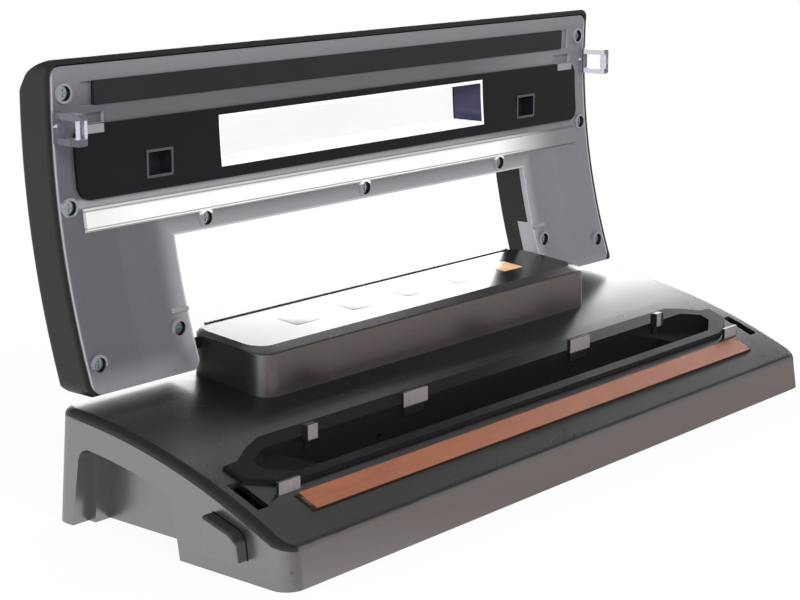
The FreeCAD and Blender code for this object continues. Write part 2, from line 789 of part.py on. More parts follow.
def panel_overlay():
    """Glossy plate on the control housing, open at each pad."""
    plate = panel_plate((-PANEL_THICK, 0.0))
    holes = [pad_block(i, PAD_GAP, (-5.0, 5.0)) for i in range(PAD_COUNT)]
    return on_panel(cut_all(plate, holes))


def control_pad(index):
    """Square pad with a flange behind the panel and a stem towards its key switch."""
    wall = PANEL_THICK + HOUSING_WALL
    x = pad_x(index)
    cap = pad_block(index, 0.0, (-wall - 1.5, PAD_PROUD))
    cap = cap.makeFillet(PAD_EDGE_R, [edge for edge in cap.Edges if edge.BoundBox.ZMin > PAD_PROUD - 0.1])
    flange = pad_block(index, PAD_FLANGE, (-wall - 1.5, -wall - 0.3))
    stem = rod(PAD_STEM_R, V(x, PAD_CENTRE_DEPTH, -wall - 3.0), V(x, PAD_CENTRE_DEPTH, -wall - 1.0))
    return on_panel(cap.multiFuse([flange, stem]))


def control_board():
    """Circuit board under the panel, on the ledge of the control housing."""
    half = HOUSING_HALF_WIDTH - HOUSING_WALL - 1.6
    top = -PANEL_THICK - HOUSING_WALL - KEY_STACK
    board = box((-half, half), (2.0, PANEL_DEPTH - 10.0), (top - 1.6, top))
    return on_panel(board)


def key_switches():
    """One key switch under each pad's stem."""
    base = -PANEL_THICK - HOUSING_WALL - KEY_STACK
    top = -PANEL_THICK - HOUSING_WALL - 3.0 - PAD_TRAVEL - 0.1
    keys = []
    for i in range(PAD_COUNT):
        x = pad_x(i)
        body = box((x - 3.0, x + 3.0), (PAD_CENTRE_DEPTH - 3.0, PAD_CENTRE_DEPTH + 3.0), (base, top - 0.8))
        knob = rod(1.6, V(x, PAD_CENTRE_DEPTH, top - 1.0), V(x, PAD_CENTRE_DEPTH, top))
        keys.append(on_panel(body.fuse(knob)))
    return group(keys)


def status_lamp():
    """Lamp beside the last key switch, which lights its pad."""
    base = -PANEL_THICK - HOUSING_WALL - KEY_STACK
    x = pad_x(PAD_COUNT - 1) + 5.2
    lens = rod(1.5, V(x, PAD_CENTRE_DEPTH, base), V(x, PAD_CENTRE_DEPTH, base + 2.0))
    return on_panel(lens)


def hinge_pin(side):
    """Pin from the control housing into one arm of the lid."""
    pin = rod(PIN_R, V(PIN_X[0], HINGE_Y, HINGE_Z), V(PIN_X[1], HINGE_Y, HINGE_Z))
    return pin if side > 0 else mirrored(pin)


def vacuum_trough():
    """Tub in the deck that the bag's mouth hangs into, with a flange under the deck."""
    tub = prism_z(trough_polygon(TROUGH_WALL), (TROUGH_FLOOR_Z - TROUGH_WALL, FAR)).common(under_deck())
    flange = prism_z(trough_polygon(TROUGH_FLANGE), (TROUGH_FLOOR_Z - TROUGH_WALL, FAR))
    flange = flange.common(under_deck(-BASE_WALL)).cut(under_deck(-BASE_WALL - TROUGH_WALL))
    flange = flange.cut(heat_block(HEAT_WIDTH + 4.0, HEAT_HALF_LENGTH + 5.0, (-HEAT_BAR_DEPTH - 3.0, 9.0)))
    flange = cut_all(flange, both_sides(box((TROUGH_END_X + 4.0, FAR), (-60.0, 0.0), (0.0, FAR))))
    tub = tub.fuse(flange)
    middle = box((-POCKET_X, POCKET_X), (-FAR, FAR), (TROUGH_FLOOR_Z, FAR))
    ends = box((-FAR, FAR), (-FAR, FAR), (POCKET_FLOOR_Z, FAR))
    mouth = prism_z(trough_polygon(0.0), (0.0, FAR))
    tub = cut_all(tub, [mouth.common(middle), mouth.common(ends)])
    under_z = (0.0, POCKET_FLOOR_Z - TROUGH_WALL)
    under_pockets = both_sides(box((POCKET_X + TROUGH_WALL, FAR), (-FAR, FAR), under_z))
    port = rod(HOSE_BORE_R, V(HOSE_X, -25.0, HOSE_Z), V(HOSE_X, 0.0, HOSE_Z))
    return cut_all(tub, under_pockets + [port])


def lower_gasket():
    """Soft ring round the trough, with an end plate towards each latch slot."""
    top = outline_x(
        (-PAST_BASE_Y, -FAR),
        (-PAST_BASE_Y, ring_z(-PAST_BASE_Y)),
        (PAST_BASE_Y, ring_z(PAST_BASE_Y)),
        (PAST_BASE_Y, -FAR),
    )
    ring = prism_z(ring_polygon(), (0.0, FAR)).common(prism_x(top, (-FAR, FAR)))
    upper = [edge for edge in ring.Edges if edge_on_ring_top(edge)]
    ring = ring.makeChamfer(RING_BEVEL, upper)
    ring = ring.cut(prism_z(trough_polygon(0.0), (0.0, FAR)))
    return ring.cut(under_deck())


def edge_on_ring_top(edge):
    """Whether both ends of an edge lie on the ring's top."""
    return all(abs(v.Point.z - ring_z(v.Point.y)) < 0.01 for v in edge.Vertexes)


def bag_stops():
    """Four upright stops at the trough's rear wall."""
    stops = []
    sizes = (
        (OUTER_STOP_X, OUTER_STOP_WIDTH, OUTER_STOP_THICK),
        (INNER_STOP_X, INNER_STOP_WIDTH, INNER_STOP_THICK),
    )
    for x, width, thick in sizes:
        y_span = (TROUGH_REAR_Y - thick, TROUGH_REAR_Y)
        stop = box((x - width / 2, x + width / 2), y_span, (STOP_LOW_Z, STOP_TOP_Z))
        top = [edge for edge in stop.Edges if edge.BoundBox.ZMin > STOP_TOP_Z - 0.1]
        half = width / 2 - STOP_STEM_INSET
        stem_y = (TROUGH_REAR_Y - STOP_STEM, TROUGH_REAR_Y)
        stem = box((x - half, x + half), stem_y, (STOP_FOOT_Z, STOP_LOW_Z))
        stops += both_sides(stop.makeFillet(0.5, top).fuse(stem))
    return group(stops)


def guide_blocks():
    """Two small upright plates between the ring and the heat strip."""
    block = box(GUIDE_X, GUIDE_Y, (0.0, GUIDE_TOP_Z)).cut(under_deck())
    return group(both_sides(block))


def vacuum_port():
    """Nipple through the trough's rear wall."""
    tube = rod(HOSE_BORE_R, V(HOSE_X, TROUGH_REAR_Y, HOSE_Z), V(HOSE_X, -5.0, HOSE_Z))
    return tube.cut(rod(HOSE_BORE_R - 1.0, V(HOSE_X, -40.0, HOSE_Z), V(HOSE_X, 40.0, HOSE_Z)))


def pump_hose():
    """Soft hose from the trough's nipple to the pump."""
    start = V(HOSE_X, TROUGH_REAR_Y + TROUGH_WALL + 1.0, HOSE_Z)
    end = V(HOSE_X, PUMP_Y[0], HOSE_Z)
    return rod(HOSE_R, start, end).cut(rod(HOSE_BORE_R, start, end))


def pump_head():
    """Pump chamber on the bottom plate, with its inlet nipple and outlet."""
    block = box(PUMP_X, PUMP_Y, (PLATE_Z[1], PUMP_TOP_Z))
    block = block.makeFillet(3.0, [e for e in block.Edges if e.BoundBox.XLength > 10.0])
    inlet = rod(HOSE_BORE_R, V(HOSE_X, PUMP_Y[0] + 2.0, HOSE_Z), V(HOSE_X, PUMP_Y[0] - 7.0, HOSE_Z))
    bore = rod(HOSE_BORE_R - 1.0, V(HOSE_X, PUMP_Y[0] + 8.0, HOSE_Z), V(HOSE_X, 0.0, HOSE_Z))
    outlet_x = PUMP_X[0]
    outlet = rod(2.5, V(outlet_x + 2.0, 35.0, 12.0), V(outlet_x - 6.0, 35.0, 12.0))
    return block.multiFuse([inlet, outlet]).cut(bore)


def pump_motor():
    """Motor on the end of the pump chamber."""
    centre_y = (PUMP_Y[0] + PUMP_Y[1]) / 2
    centre_z = PLATE_Z[1] + MOTOR_R + 1.0
    end_x = PUMP_X[1] + MOTOR_LENGTH
    can = rod(MOTOR_R, V(PUMP_X[1], centre_y, centre_z), V(end_x, centre_y, centre_z))
    bearing = rod(4.0, V(end_x - 1.0, centre_y, centre_z), V(end_x + 3.0, centre_y, centre_z))
    foot = box((PUMP_X[1] + 8.0, end_x - 8.0), (centre_y - 7.0, centre_y + 7.0), (PLATE_Z[1], centre_z))
    return can.multiFuse([bearing, foot])


def power_board():
    """Mains board on the posts of the bottom plate."""
    return box(BOARD_X, BOARD_Y, BOARD_Z)


def transformer():
    """Transformer on the power board."""
    x0, x1, y0, y1, top = TRANSFORMER
    core = box((x0, x1), (y0 + 6.0, y1 - 6.0), (BOARD_Z[1], top))
    coil = box((x0 + 7.0, x1 - 7.0), (y0, y1), (BOARD_Z[1] + 4.0, top - 4.0))
    coil = coil.makeFillet(3.0, [e for e in coil.Edges if e.BoundBox.XLength > 10.0])
    return core.fuse(coil)


def lid_switch():
    """Switch on the bottom plate below the right hook."""
    body = box((168.0, 174.0), (-28.0, -22.0), (PLATE_Z[1], 13.0))
    lever = box((170.0, 172.0), (-27.5, -22.5), (13.0, 14.0))
    return body.fuse(lever)


def gland_rod(radius, y_span):
    """Bar along the gland's axis."""
    return rod(radius, V(GLAND_X, y_span[0], GLAND_Z), V(GLAND_X, y_span[1], GLAND_Z))


def lead_gland():
    """Bush in the rear wall for the mains lead."""
    outer_y = BASE_REAR_Y + 1.5
    sleeve = gland_rod(GLAND_R, (BASE_REAR_Y - 7.0, outer_y))
    collar = gland_rod(GLAND_R + 2.0, (BASE_REAR_Y - 4.0, outer_y)).cut(base_form())
    return sleeve.fuse(collar).cut(gland_rod(GLAND_BORE_R, (0.0, FAR)))


def heat_bar():
    """Heat-proof bar in the deck under the heating wire."""
    top = -TAPE_THICK - WIRE_THICK
    return heat_block(HEAT_WIDTH, HEAT_HALF_LENGTH + 1.5, (-HEAT_BAR_DEPTH, top))


def heating_wire():
    """Flat wire along the bar."""
    return heat_block(WIRE_WIDTH, HEAT_HALF_LENGTH + 1.0, (-TAPE_THICK - WIRE_THICK, -TAPE_THICK))


def seal_tape():
    """Brown release tape over the wire."""
    return heat_block(HEAT_WIDTH, HEAT_HALF_LENGTH, (-TAPE_THICK, 0.0))


def release_button(side):
    """Side button, with a flange behind the wall that keeps it in."""
    cap = prism_x(button_outline(0.0), (BUTTON_FLANGE_X[0], BUTTON_FACE_X))
    face_edges = [edge for edge in cap.Edges if edge.BoundBox.XMin > BUTTON_FACE_X - 0.1]
    cap = cap.makeFillet(1.2, face_edges)
    flange = prism_x(button_outline(BUTTON_GAP + BUTTON_FLANGE), BUTTON_FLANGE_X)
    button = cap.fuse(flange)
    return button if side > 0 else mirrored(button)


def latch_catch(side):
    """Arm from the button round the hook's place, with a tongue towards the hook's eye."""
    inner_x, outer_x = CATCH_X
    low, high = CATCH_ARM_Z
    arm = box(CATCH_X, CATCH_Y, CATCH_ARM_Z)
    upright = box((inner_x, inner_x + CATCH_WALL), CATCH_Y, (low, CATCH_TOP_Z))
    tongue_y = (CATCH_Y[0] + 0.8, CATCH_Y[1] - 0.8)
    tongue_x = (inner_x + CATCH_WALL, HOOK_X[0] - TONGUE_GAP)
    tongue = box(tongue_x, tongue_y, (CATCH_TOP_Z - CATCH_WALL, CATCH_TOP_Z))
    heel = box((outer_x - 1.6, outer_x), CATCH_Y, (low, high + 3.5))
    catch = arm.multiFuse([upright, tongue, heel])
    return catch if side > 0 else mirrored(catch)


def latch_spring(side):
    """Coil spring between the catch and its post."""
    length = SPRING_X[1] - SPRING_X[0] - 2 * SPRING_WIRE_R
    helix = Part.makeHelix(length / SPRING_TURNS, length, SPRING_R)
    section = Part.Wire(Part.makeCircle(SPRING_WIRE_R, V(SPRING_R, 0, 0), Y_AXIS))
    spring = Part.Wire(helix.Edges).makePipeShell([section], True, True)
    spring.rotate(V(0, 0, 0), Y_AXIS, 90.0)
    spring.translate(V(SPRING_X[0] + SPRING_WIRE_R, *SPRING_CENTRE))
    return spring if side > 0 else mirrored(spring)


def lid_shell():
    """Outer half of the lid: a tray with walls round its notch and window, and screw bosses."""
    outer = lid_form()
    hollow = lid_hollow().cut(notch_block(LID_WALL)).cut(window_block(WINDOW_LINER + LID_WALL))
    mouth = cover_layer((-10.0, COVER_THICK), COVER_SEAM)
    bosses = [bar.common(outer) for bar in lid_rods(SCREW_BOSS_R, (COVER_THICK, LID_DEPTH - 0.5))]
    bearing = rod(PIN_R + 2.0, V(LUG_X[1], HINGE_Y, HINGE_Z), V(PIN_X[1] + 1.5, HINGE_Y, HINGE_Z))
    web_z = (HINGE_Z - 3.0, HINGE_Z + 3.0)
    web = box((LUG_X[1], PIN_X[1] + 1.5), (HINGE_Y, lid_y(HINGE_Z, LID_DEPTH) + 1.0), web_z).common(outer)
    shell = outer.cut(hollow).multiFuse(bosses + both_sides(bearing) + both_sides(web)).cut(mouth)
    cuts = [notch_block(0.0), window_block(WINDOW_LINER), hinge_bore()]
    cuts += arm_corner_trims(LID_BOTTOM_Z)
    cuts += both_sides(hinge_lug())
    cuts += lid_rods(SCREW_SHANK_R, (-20.0, SCREW_SUNK + SCREW_LENGTH + 0.3))
    return cut_all(shell, cuts)


def socket_block(x, grow, back_span):
    """Block round one socket, between two depths behind the inner face."""
    half = SOCKET_WIDTH / 2 + grow
    y = lid_y((SOCKET_Z[0] + SOCKET_Z[1]) / 2)
    z_span = (SOCKET_Z[0] - grow, SOCKET_Z[1] + grow)
    return box((x - half, x + half), (y + back_span[0], y + back_span[1]), z_span)


def rubber_form(x_half, radius):
    """Strip from the rubber's groove to its working face, with round corners."""
    z_span = (RUBBER_Z[0] - 5.0, RUBBER_Z[1] + 5.0)
    layer = lid_layer((-RUBBER_PROUD, RUBBER_GROOVE), z_span, (-FAR, FAR))
    return layer.common(upright_plate(x_half, RUBBER_Z, radius))


def locating_rib():
    """Flat bar with bevelled edges across the cover, below the chamber pad."""
    low, high = RIB_Z
    face = outline_x(
        (lid_y(high), high),
        (lid_y(high - RIB_BEVEL) - RIB_PROUD, high - RIB_BEVEL),
        (lid_y(low + RIB_BEVEL) - RIB_PROUD, low + RIB_BEVEL),
        (lid_y(low), low),
        (lid_y(low) + 0.5, low),
        (lid_y(high) + 0.5, high),
    )
    return prism_x(face, (-RIB_HALF_WIDTH, RIB_HALF_WIDTH))


def hinge_lug():
    """Ear of the cover round the right hinge pin, in the wall of the notch."""
    return lid_layer((0.0, LUG_DEPTH), LUG_Z, LUG_X)


def cover_layer(back_span, grow):
    """Slice of the lid with the cover's outline or a larger one, between two depths behind its inner face."""
    z_span = (COVER_Z[0] - grow, COVER_Z[1] + grow)
    x_span = (COVER_X[0] - grow, COVER_X[1] + grow)
    layer = lid_layer(back_span, z_span, x_span)
    return layer.common(upright_plate(x_span[1], z_span, COVER_CORNER_R + grow))


def lid_cover():
    """Smoky clear inner cover, with the locating rib, screw seats and hinge lugs."""
    cover = cover_layer((0.0, COVER_THICK), 0.0).cut(notch_block(0.0))
    cover = cut_all(cover, arm_corner_trims(COVER_Z[0]))
    seats = lid_rods(SCREW_HEAD_R + 1.4, (-0.7, 0.5))
    tabs = both_sides(lid_layer((-CHAMBER_THICK, 0.5), TAB_Z, TAB_X))
    tabs += both_sides(lid_layer((-ARM_RIB_PROUD, 0.5), ARM_RIB_Z, ARM_RIB_X))
    cover = cover.multiFuse([locating_rib()] + both_sides(hinge_lug()) + seats + tabs)
    cuts = [window_block(WINDOW_LINER), rubber_form(GROOVE_HALF_LENGTH, 0.5), hinge_bore()]
    cuts += lid_rods(SCREW_HEAD_R + 0.3, (-5.0, SCREW_SUNK + SCREW_HEAD_H))
    cuts += lid_rods(SCREW_SHANK_R, (-5.0, 20.0))
    cuts += [socket_block(x, 0.0, (-5.0, FAR)) for x in (-OUTER_STOP_X, OUTER_STOP_X)]
    cuts += both_sides(lid_layer((-5.0, GUIDE_POCKET_DEPTH), GUIDE_POCKET_Z, GUIDE_POCKET_X))
    return cut_all(cover, cuts)


def chamber_pad():
    """Black pad that meets the ring gasket when the lid is down."""
    z_span = (CHAMBER_Z[0] - 5.0, CHAMBER_Z[1] + 5.0)
    layer = lid_layer((-CHAMBER_THICK, 0.0), z_span, (-FAR, FAR))
    pad = layer.common(upright_plate(CHAMBER_HALF_WIDTH, CHAMBER_Z, CHAMBER_CORNER_R))
    sockets = [socket_block(x, 0.0, (-5.0, 5.0)) for x in (-OUTER_STOP_X, OUTER_STOP_X)]
    tabs = both_sides(lid_layer((-10.0, 10.0), (TAB_Z[0], TAB_Z[1] + 5.0), TAB_X))
    return cut_all(pad, [window_block(WINDOW_LINER)] + sockets + tabs)


def tab_sockets():
    """Two square cups in the chamber pad that take the outer bag stops."""
    cups = []
    for x in (-OUTER_STOP_X, OUTER_STOP_X):
        cup = socket_block(x, 0.0, (SOCKET_FRONT, SOCKET_FLOOR + SOCKET_WALL))
        cups.append(cup.cut(socket_block(x, -SOCKET_WALL, (-5.0, SOCKET_FLOOR))))
    return group(cups)


def viewing_window():
    """Clear liner through the lid, closed by a pane at the outer side."""
    z_span = (WINDOW_Z[0] - 5.0, WINDOW_Z[1] + 5.0)
    x_span = (-FAR, FAR)
    liner = window_block(WINDOW_LINER).common(lid_layer((-CHAMBER_THICK, LID_DEPTH), z_span, x_span))
    pane_depth = LID_DEPTH - WINDOW_PANE
    return liner.cut(window_block(0.0).common(lid_layer((-20.0, pane_depth), z_span, x_span)))


def press_rubber():
    """Black strip that presses the bag on the heat strip."""
    return rubber_form(HEAT_HALF_LENGTH, RUBBER_CORNER_R)


def lid_screws():
    """Cross-recess screws that hold the cover to the shell."""
    screws = []
    for x, z in screw_places():
        y = lid_y(z) + SCREW_SUNK
        head = rod(SCREW_HEAD_R, V(x, y, z), V(x, y + SCREW_HEAD_H, z))
        shank = rod(SCREW_SHANK_R, V(x, y, z), V(x, y + SCREW_LENGTH, z))
        slots = [box((x - 1.5, x + 1.5), (y - 1.0, y + 0.7), (z - 0.35, z + 0.35))]
        slots.append(box((x - 0.35, x + 0.35), (y - 1.0, y + 0.7), (z - 1.5, z + 1.5)))
        screws.append(cut_all(head.fuse(shank), slots))
    return group(screws)


def latch_hook(side):
    """Clear eye that stands out of the cover and drops into a latch slot."""
    root_y = lid_y(HOOK_Z[0]) + 3.0
    hook = box(HOOK_X, (HOOK_FRONT_Y, root_y), HOOK_Z)
    front = [edge for edge in hook.Edges if edge.BoundBox.YMax < HOOK_FRONT_Y + 0.1]
    hook = hook.makeFillet(HOOK_CORNER_R, [edge for edge in front if edge.BoundBox.XLength > 1.0])
    eye_y = (HOOK_FRONT_Y + HOOK_BAR, lid_y(HOOK_Z[0]) - HOOK_BAR)
    eye = box((0.0, FAR), eye_y, (HOOK_Z[0] + HOOK_BAR, HOOK_Z[1] - HOOK_BAR))
    cover = lid_layer((0.0, 30.0), (HOOK_Z[0] - 5.0, HOOK_Z[1] + 5.0), (0.0, FAR))
    hook = hook.cut(eye).cut(cover)
    return hook if side > 0 else mirrored(hook)


def sided(make, side):
    """The maker of one side's piece."""
    return lambda: make(side)


def pad_maker(index):
    """The maker of one control pad."""
    return lambda: control_pad(index)


NODES = {
    "base_housing": base_housing,
    "bottom_plate": bottom_plate,
    "feet": feet,
    "base_screws": base_screws,
    "control_housing": control_housing,
    "panel_overlay": panel_overlay,
    "control_board": control_board,
    "key_switches": key_switches,
    "status_lamp": status_lamp,
    "vacuum_trough": vacuum_trough,
    "lower_gasket": lower_gasket,
    "bag_stops": bag_stops,
    "guide_blocks": guide_blocks,
    "vacuum_port": vacuum_port,
    "pump_hose": pump_hose,
    "pump_head": pump_head,
    "pump_motor": pump_motor,
    "power_board": power_board,
    "transformer": transformer,
    "lid_switch": lid_switch,
    "lead_gland": lead_gland,
    "heat_bar": heat_bar,
    "heating_wire": heating_wire,
    "seal_tape": seal_tape,
    "lid_shell": lid_shell,
    "lid_cover": lid_cover,
    "chamber_pad": chamber_pad,
    "tab_sockets": tab_sockets,
    "viewing_window": viewing_window,
    "press_rubber": press_rubber,
    "lid_screws": lid_screws,
}
for pad in range(PAD_COUNT):
    NODES["control_pad_" + str(pad + 1)] = pad_maker(pad)
for word, sign in (("left", -1), ("right", 1)):
    NODES["hinge_pin_" + word] = sided(hinge_pin, sign)
    NODES["release_button_" + word] = sided(release_button, sign)
    NODES["latch_catch_" + word] = sided(latch_catch, sign)
    NODES["latch_spring_" + word] = sided(latch_spring, sign)
    NODES["latch_hook_" + word] = sided(latch_hook, sign)


def main():
    """Write one file for each node."""
    os.makedirs("parts", exist_ok=True)
    for name, make in NODES.items():
        shape = make()
        span = shape.optimalBoundingBox()
        size = [round(v, 1) for v in (span.XLength, span.YLength, span.ZLength)]
        print(name, shape.isValid(), len(shape.Solids), round(shape.Volume), size)
        shape.exportStep("parts/" + name + ".step")


main()
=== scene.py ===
"""Looks of a countertop vacuum sealer with its lid open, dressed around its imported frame.

Everything is in metres, +Z up, with -Y the front that takes the bag.
"""
from __future__ import annotations

import logging
import math
from dataclasses import dataclass, field
from enum import Enum
from typing import Sequence, Union

import bmesh
import bpy
from mathutils import Matrix, Vector

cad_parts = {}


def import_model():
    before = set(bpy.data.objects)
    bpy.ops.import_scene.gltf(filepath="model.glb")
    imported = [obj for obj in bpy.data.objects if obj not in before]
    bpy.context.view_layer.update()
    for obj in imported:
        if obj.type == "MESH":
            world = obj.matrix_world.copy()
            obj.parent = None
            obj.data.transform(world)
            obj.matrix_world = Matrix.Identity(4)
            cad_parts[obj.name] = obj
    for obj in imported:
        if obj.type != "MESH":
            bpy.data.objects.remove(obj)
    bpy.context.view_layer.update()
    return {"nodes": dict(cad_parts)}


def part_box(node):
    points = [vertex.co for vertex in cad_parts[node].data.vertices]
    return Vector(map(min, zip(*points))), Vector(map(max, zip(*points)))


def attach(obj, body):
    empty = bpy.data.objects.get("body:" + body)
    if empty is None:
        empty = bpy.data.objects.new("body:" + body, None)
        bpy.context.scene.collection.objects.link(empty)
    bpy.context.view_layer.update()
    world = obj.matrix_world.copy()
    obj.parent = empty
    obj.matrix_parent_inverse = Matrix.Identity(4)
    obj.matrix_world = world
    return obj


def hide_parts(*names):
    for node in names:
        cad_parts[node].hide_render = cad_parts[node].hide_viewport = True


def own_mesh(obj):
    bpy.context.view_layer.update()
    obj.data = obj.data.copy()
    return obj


LOG = logging.getLogger("vacuum_sealer")
MM = 0.001
MERGE = 0.002 * MM
Colour = tuple[float, float, float]
Value = Union["Wire", float]
Paint = Union["Wire", Colour]


class Wire:
    """A node socket that stands in arithmetic; each operation adds a Math node."""

    def __init__(self, recipe: "Recipe", socket: bpy.types.NodeSocket) -> None:
        """Keep the socket.

        Args:
            recipe: the tree that the socket belongs to.
            socket: an output of one of its nodes.
        """
        self.recipe = recipe
        self.socket = socket

    def combine(self, operation: str, first: Value, second: Value) -> "Wire":
        """Join two values with a Math node.

        Args:
            operation: the Math node's operation.
            first: the first value.
            second: the second value.

        Returns:
            The result's socket.
        """
        node = self.recipe.node("ShaderNodeMath", {"operation": operation}, {0: first, 1: second})
        return Wire(self.recipe, node.outputs[0])

    def __add__(self, other: Value) -> "Wire":
        """Sum."""
        return self.combine("ADD", self, other)

    def __radd__(self, other: Value) -> "Wire":
        """Sum with a number in front."""
        return self.combine("ADD", other, self)

    def __sub__(self, other: Value) -> "Wire":
        """Difference."""
        return self.combine("SUBTRACT", self, other)

    def __rsub__(self, other: Value) -> "Wire":
        """Difference from a number in front."""
        return self.combine("SUBTRACT", other, self)

    def __mul__(self, other: Value) -> "Wire":
        """Product."""
        return self.combine("MULTIPLY", self, other)

    def __rmul__(self, other: Value) -> "Wire":
        """Product with a number in front."""
        return self.combine("MULTIPLY", other, self)

    def __or__(self, other: Value) -> "Wire":
        """The larger of two masks."""
        return self.combine("MAXIMUM", self, other)

    def __pow__(self, other: Value) -> "Wire":
        """Power."""
        return self.combine("POWER", self, other)

    def __abs__(self) -> "Wire":
        """Size without sign."""
        return self.combine("ABSOLUTE", self, 0.0)

    def __neg__(self) -> "Wire":
        """Opposite sign."""
        return self.combine("MULTIPLY", self, -1.0)


class Recipe:
    """Node tree of one material or of the world."""

    def __init__(self, tree: bpy.types.NodeTree) -> None:
        """Empty the tree.

        Args:
            tree: the node tree to fill.
        """
        self.tree = tree
        self.tree.nodes.clear()

    def node(self, kind: str, settings: dict, inputs: dict) -> bpy.types.Node:
        """Add one node.

        Args:
            kind: the node's type.
            settings: its properties, set first; stops are a ramp's (place, colour) pairs.
            inputs: socket name or number to a value or a Wire.

        Returns:
            The new node.
        """
        item = self.tree.nodes.new(kind)
        for key, value in settings.items():
            if key == "stops":
                self.fill_ramp(item.color_ramp, value)
            else:
                setattr(item, key, value)
        for key, value in inputs.items():
            if isinstance(value, Wire):
                self.tree.links.new(value.socket, item.inputs[key])
            else:
                item.inputs[key].default_value = value
        return item

    @staticmethod
    def fill_ramp(ramp: bpy.types.ColorRamp, stops: Sequence[tuple[float, Sequence[float]]]) -> None:
        """Set a ramp's stops.

        Args:
            ramp: the ramp.
            stops: (place, colour) pairs from its start.
        """
        while len(ramp.elements) < len(stops):
            ramp.elements.new(1.0)
        for element, (place, colour) in zip(ramp.elements, stops):
            element.position = place
            element.color = (*colour, 1.0)

    def wire(self, kind: str, settings: dict, inputs: dict, output: Union[int, str] = 0) -> Wire:
        """Add one node and take one of its outputs."""
        return Wire(self, self.node(kind, settings, inputs).outputs[output])

    def place(self, scale: Colour = (1.0, 1.0, 1.0), turn: Colour = (0.0, 0.0, 0.0)) -> Wire:
        """Object coordinates, stretched and turned for a pattern.

        Args:
            scale: stretch along each axis.
            turn: turn about each axis, in radians.

        Returns:
            The coordinates.
        """
        coords = self.wire("ShaderNodeTexCoord", {}, {}, "Object")
        return self.wire("ShaderNodeMapping", {}, {"Vector": coords, "Scale": scale, "Rotation": turn})

    def noise(self, where: Wire, scale: float, detail: float = 2.0) -> Wire:
        """Soft noise between about 0.3 and 0.7."""
        return self.wire("ShaderNodeTexNoise", {}, {"Vector": where, "Scale": scale, "Detail": detail})

    def axes(self, output: str = "Object") -> tuple[Wire, Wire, Wire]:
        """X, Y and Z of a texture coordinate.

        Args:
            output: which coordinate.

        Returns:
            Its three parts.
        """
        vector = self.wire("ShaderNodeTexCoord", {}, {}, output)
        parts = self.node("ShaderNodeSeparateXYZ", {}, {"Vector": vector})
        return tuple(Wire(self, socket) for socket in parts.outputs)

    def ease(self, value: Wire, start: float, end: float) -> Wire:
        """Smooth step from 0 to 1.

        Args:
            value: what it follows.
            start: the value where it is 0; this may be the larger one.
            end: the value where it is 1.

        Returns:
            The step.
        """
        low, high = min(start, end), max(start, end)
        ends = {"To Min": float(start > end), "To Max": float(start < end)}
        inputs = {"Value": value, "From Min": low, "From Max": high, **ends}
        return self.wire("ShaderNodeMapRange", {"interpolation_type": "SMOOTHSTEP"}, inputs)

    def mix(self, factor: Value, low: Paint, high: Paint) -> Wire:
        """Blend of two colours.

        Args:
            factor: 0 for the first colour, 1 for the second.
            low: the first, a number triple or a Wire.
            high: the second.

        Returns:
            The blend.
        """
        ends = {6: low, 7: high}
        paints = {key: paint if isinstance(paint, Wire) else (*paint, 1.0) for key, paint in ends.items()}
        return self.wire("ShaderNodeMix", {"data_type": "RGBA"}, {0: factor, **paints}, 2)

    def bump(self, height: Wire, strength: float, distance: float) -> Wire:
        """Small relief from a height."""
        return self.wire("ShaderNodeBump", {}, {"Height": height, "Strength": strength, "Distance": distance})

    def shader(self, inputs: dict) -> Wire:
        """A Principled shader."""
        return self.wire("ShaderNodeBsdfPrincipled", {}, inputs)

    def blend(self, factor: Value, first: Wire, second: Wire) -> Wire:
        """Mix of two shaders."""
        return self.wire("ShaderNodeMixShader", {}, {0: factor, 1: first, 2: second})

    def end(self, shader: Wire) -> None:
        """End the tree in a shader."""
        self.node("ShaderNodeOutputMaterial", {}, {"Surface": shader})

    def rays(self) -> tuple[Wire, Wire]:
        """Kinds of ray that ask for a shader.

        Returns:
            1 for rays seen straight or through clear pieces, and 1 for reflected ones.
        """
        path = self.node("ShaderNodeLightPath", {}, {})
        seen = Wire(self, path.outputs["Is Camera Ray"]) | Wire(self, path.outputs["Is Transmission Ray"])
        return seen, Wire(self, path.outputs["Is Glossy Ray"])


def new_recipe(name: str) -> tuple[bpy.types.Material, Recipe]:
    """Make an empty node material.

    Args:
        name: the material's name.

    Returns:
        The material and its recipe.
    """
    material = bpy.data.materials.new(name)
    material.use_nodes = True
    return material, Recipe(material.node_tree)


def shade(colour: Colour, factor: float) -> Colour:
    """The colour made lighter or darker."""
    return tuple(min(1.0, channel * factor) for channel in colour)


@dataclass(frozen=True)
class Finish:
    """One finish of the object: a name and the shader that it stands for."""

    name: str

    def skin(self, recipe: Recipe) -> Wire:
        """The finish's shader, which each kind of finish makes."""
        raise NotImplementedError

    def make(self) -> bpy.types.Material:
        """Build the material.

        Returns:
            The material.
        """
        material, recipe = new_recipe(self.name)
        recipe.end(self.skin(recipe))
        return material


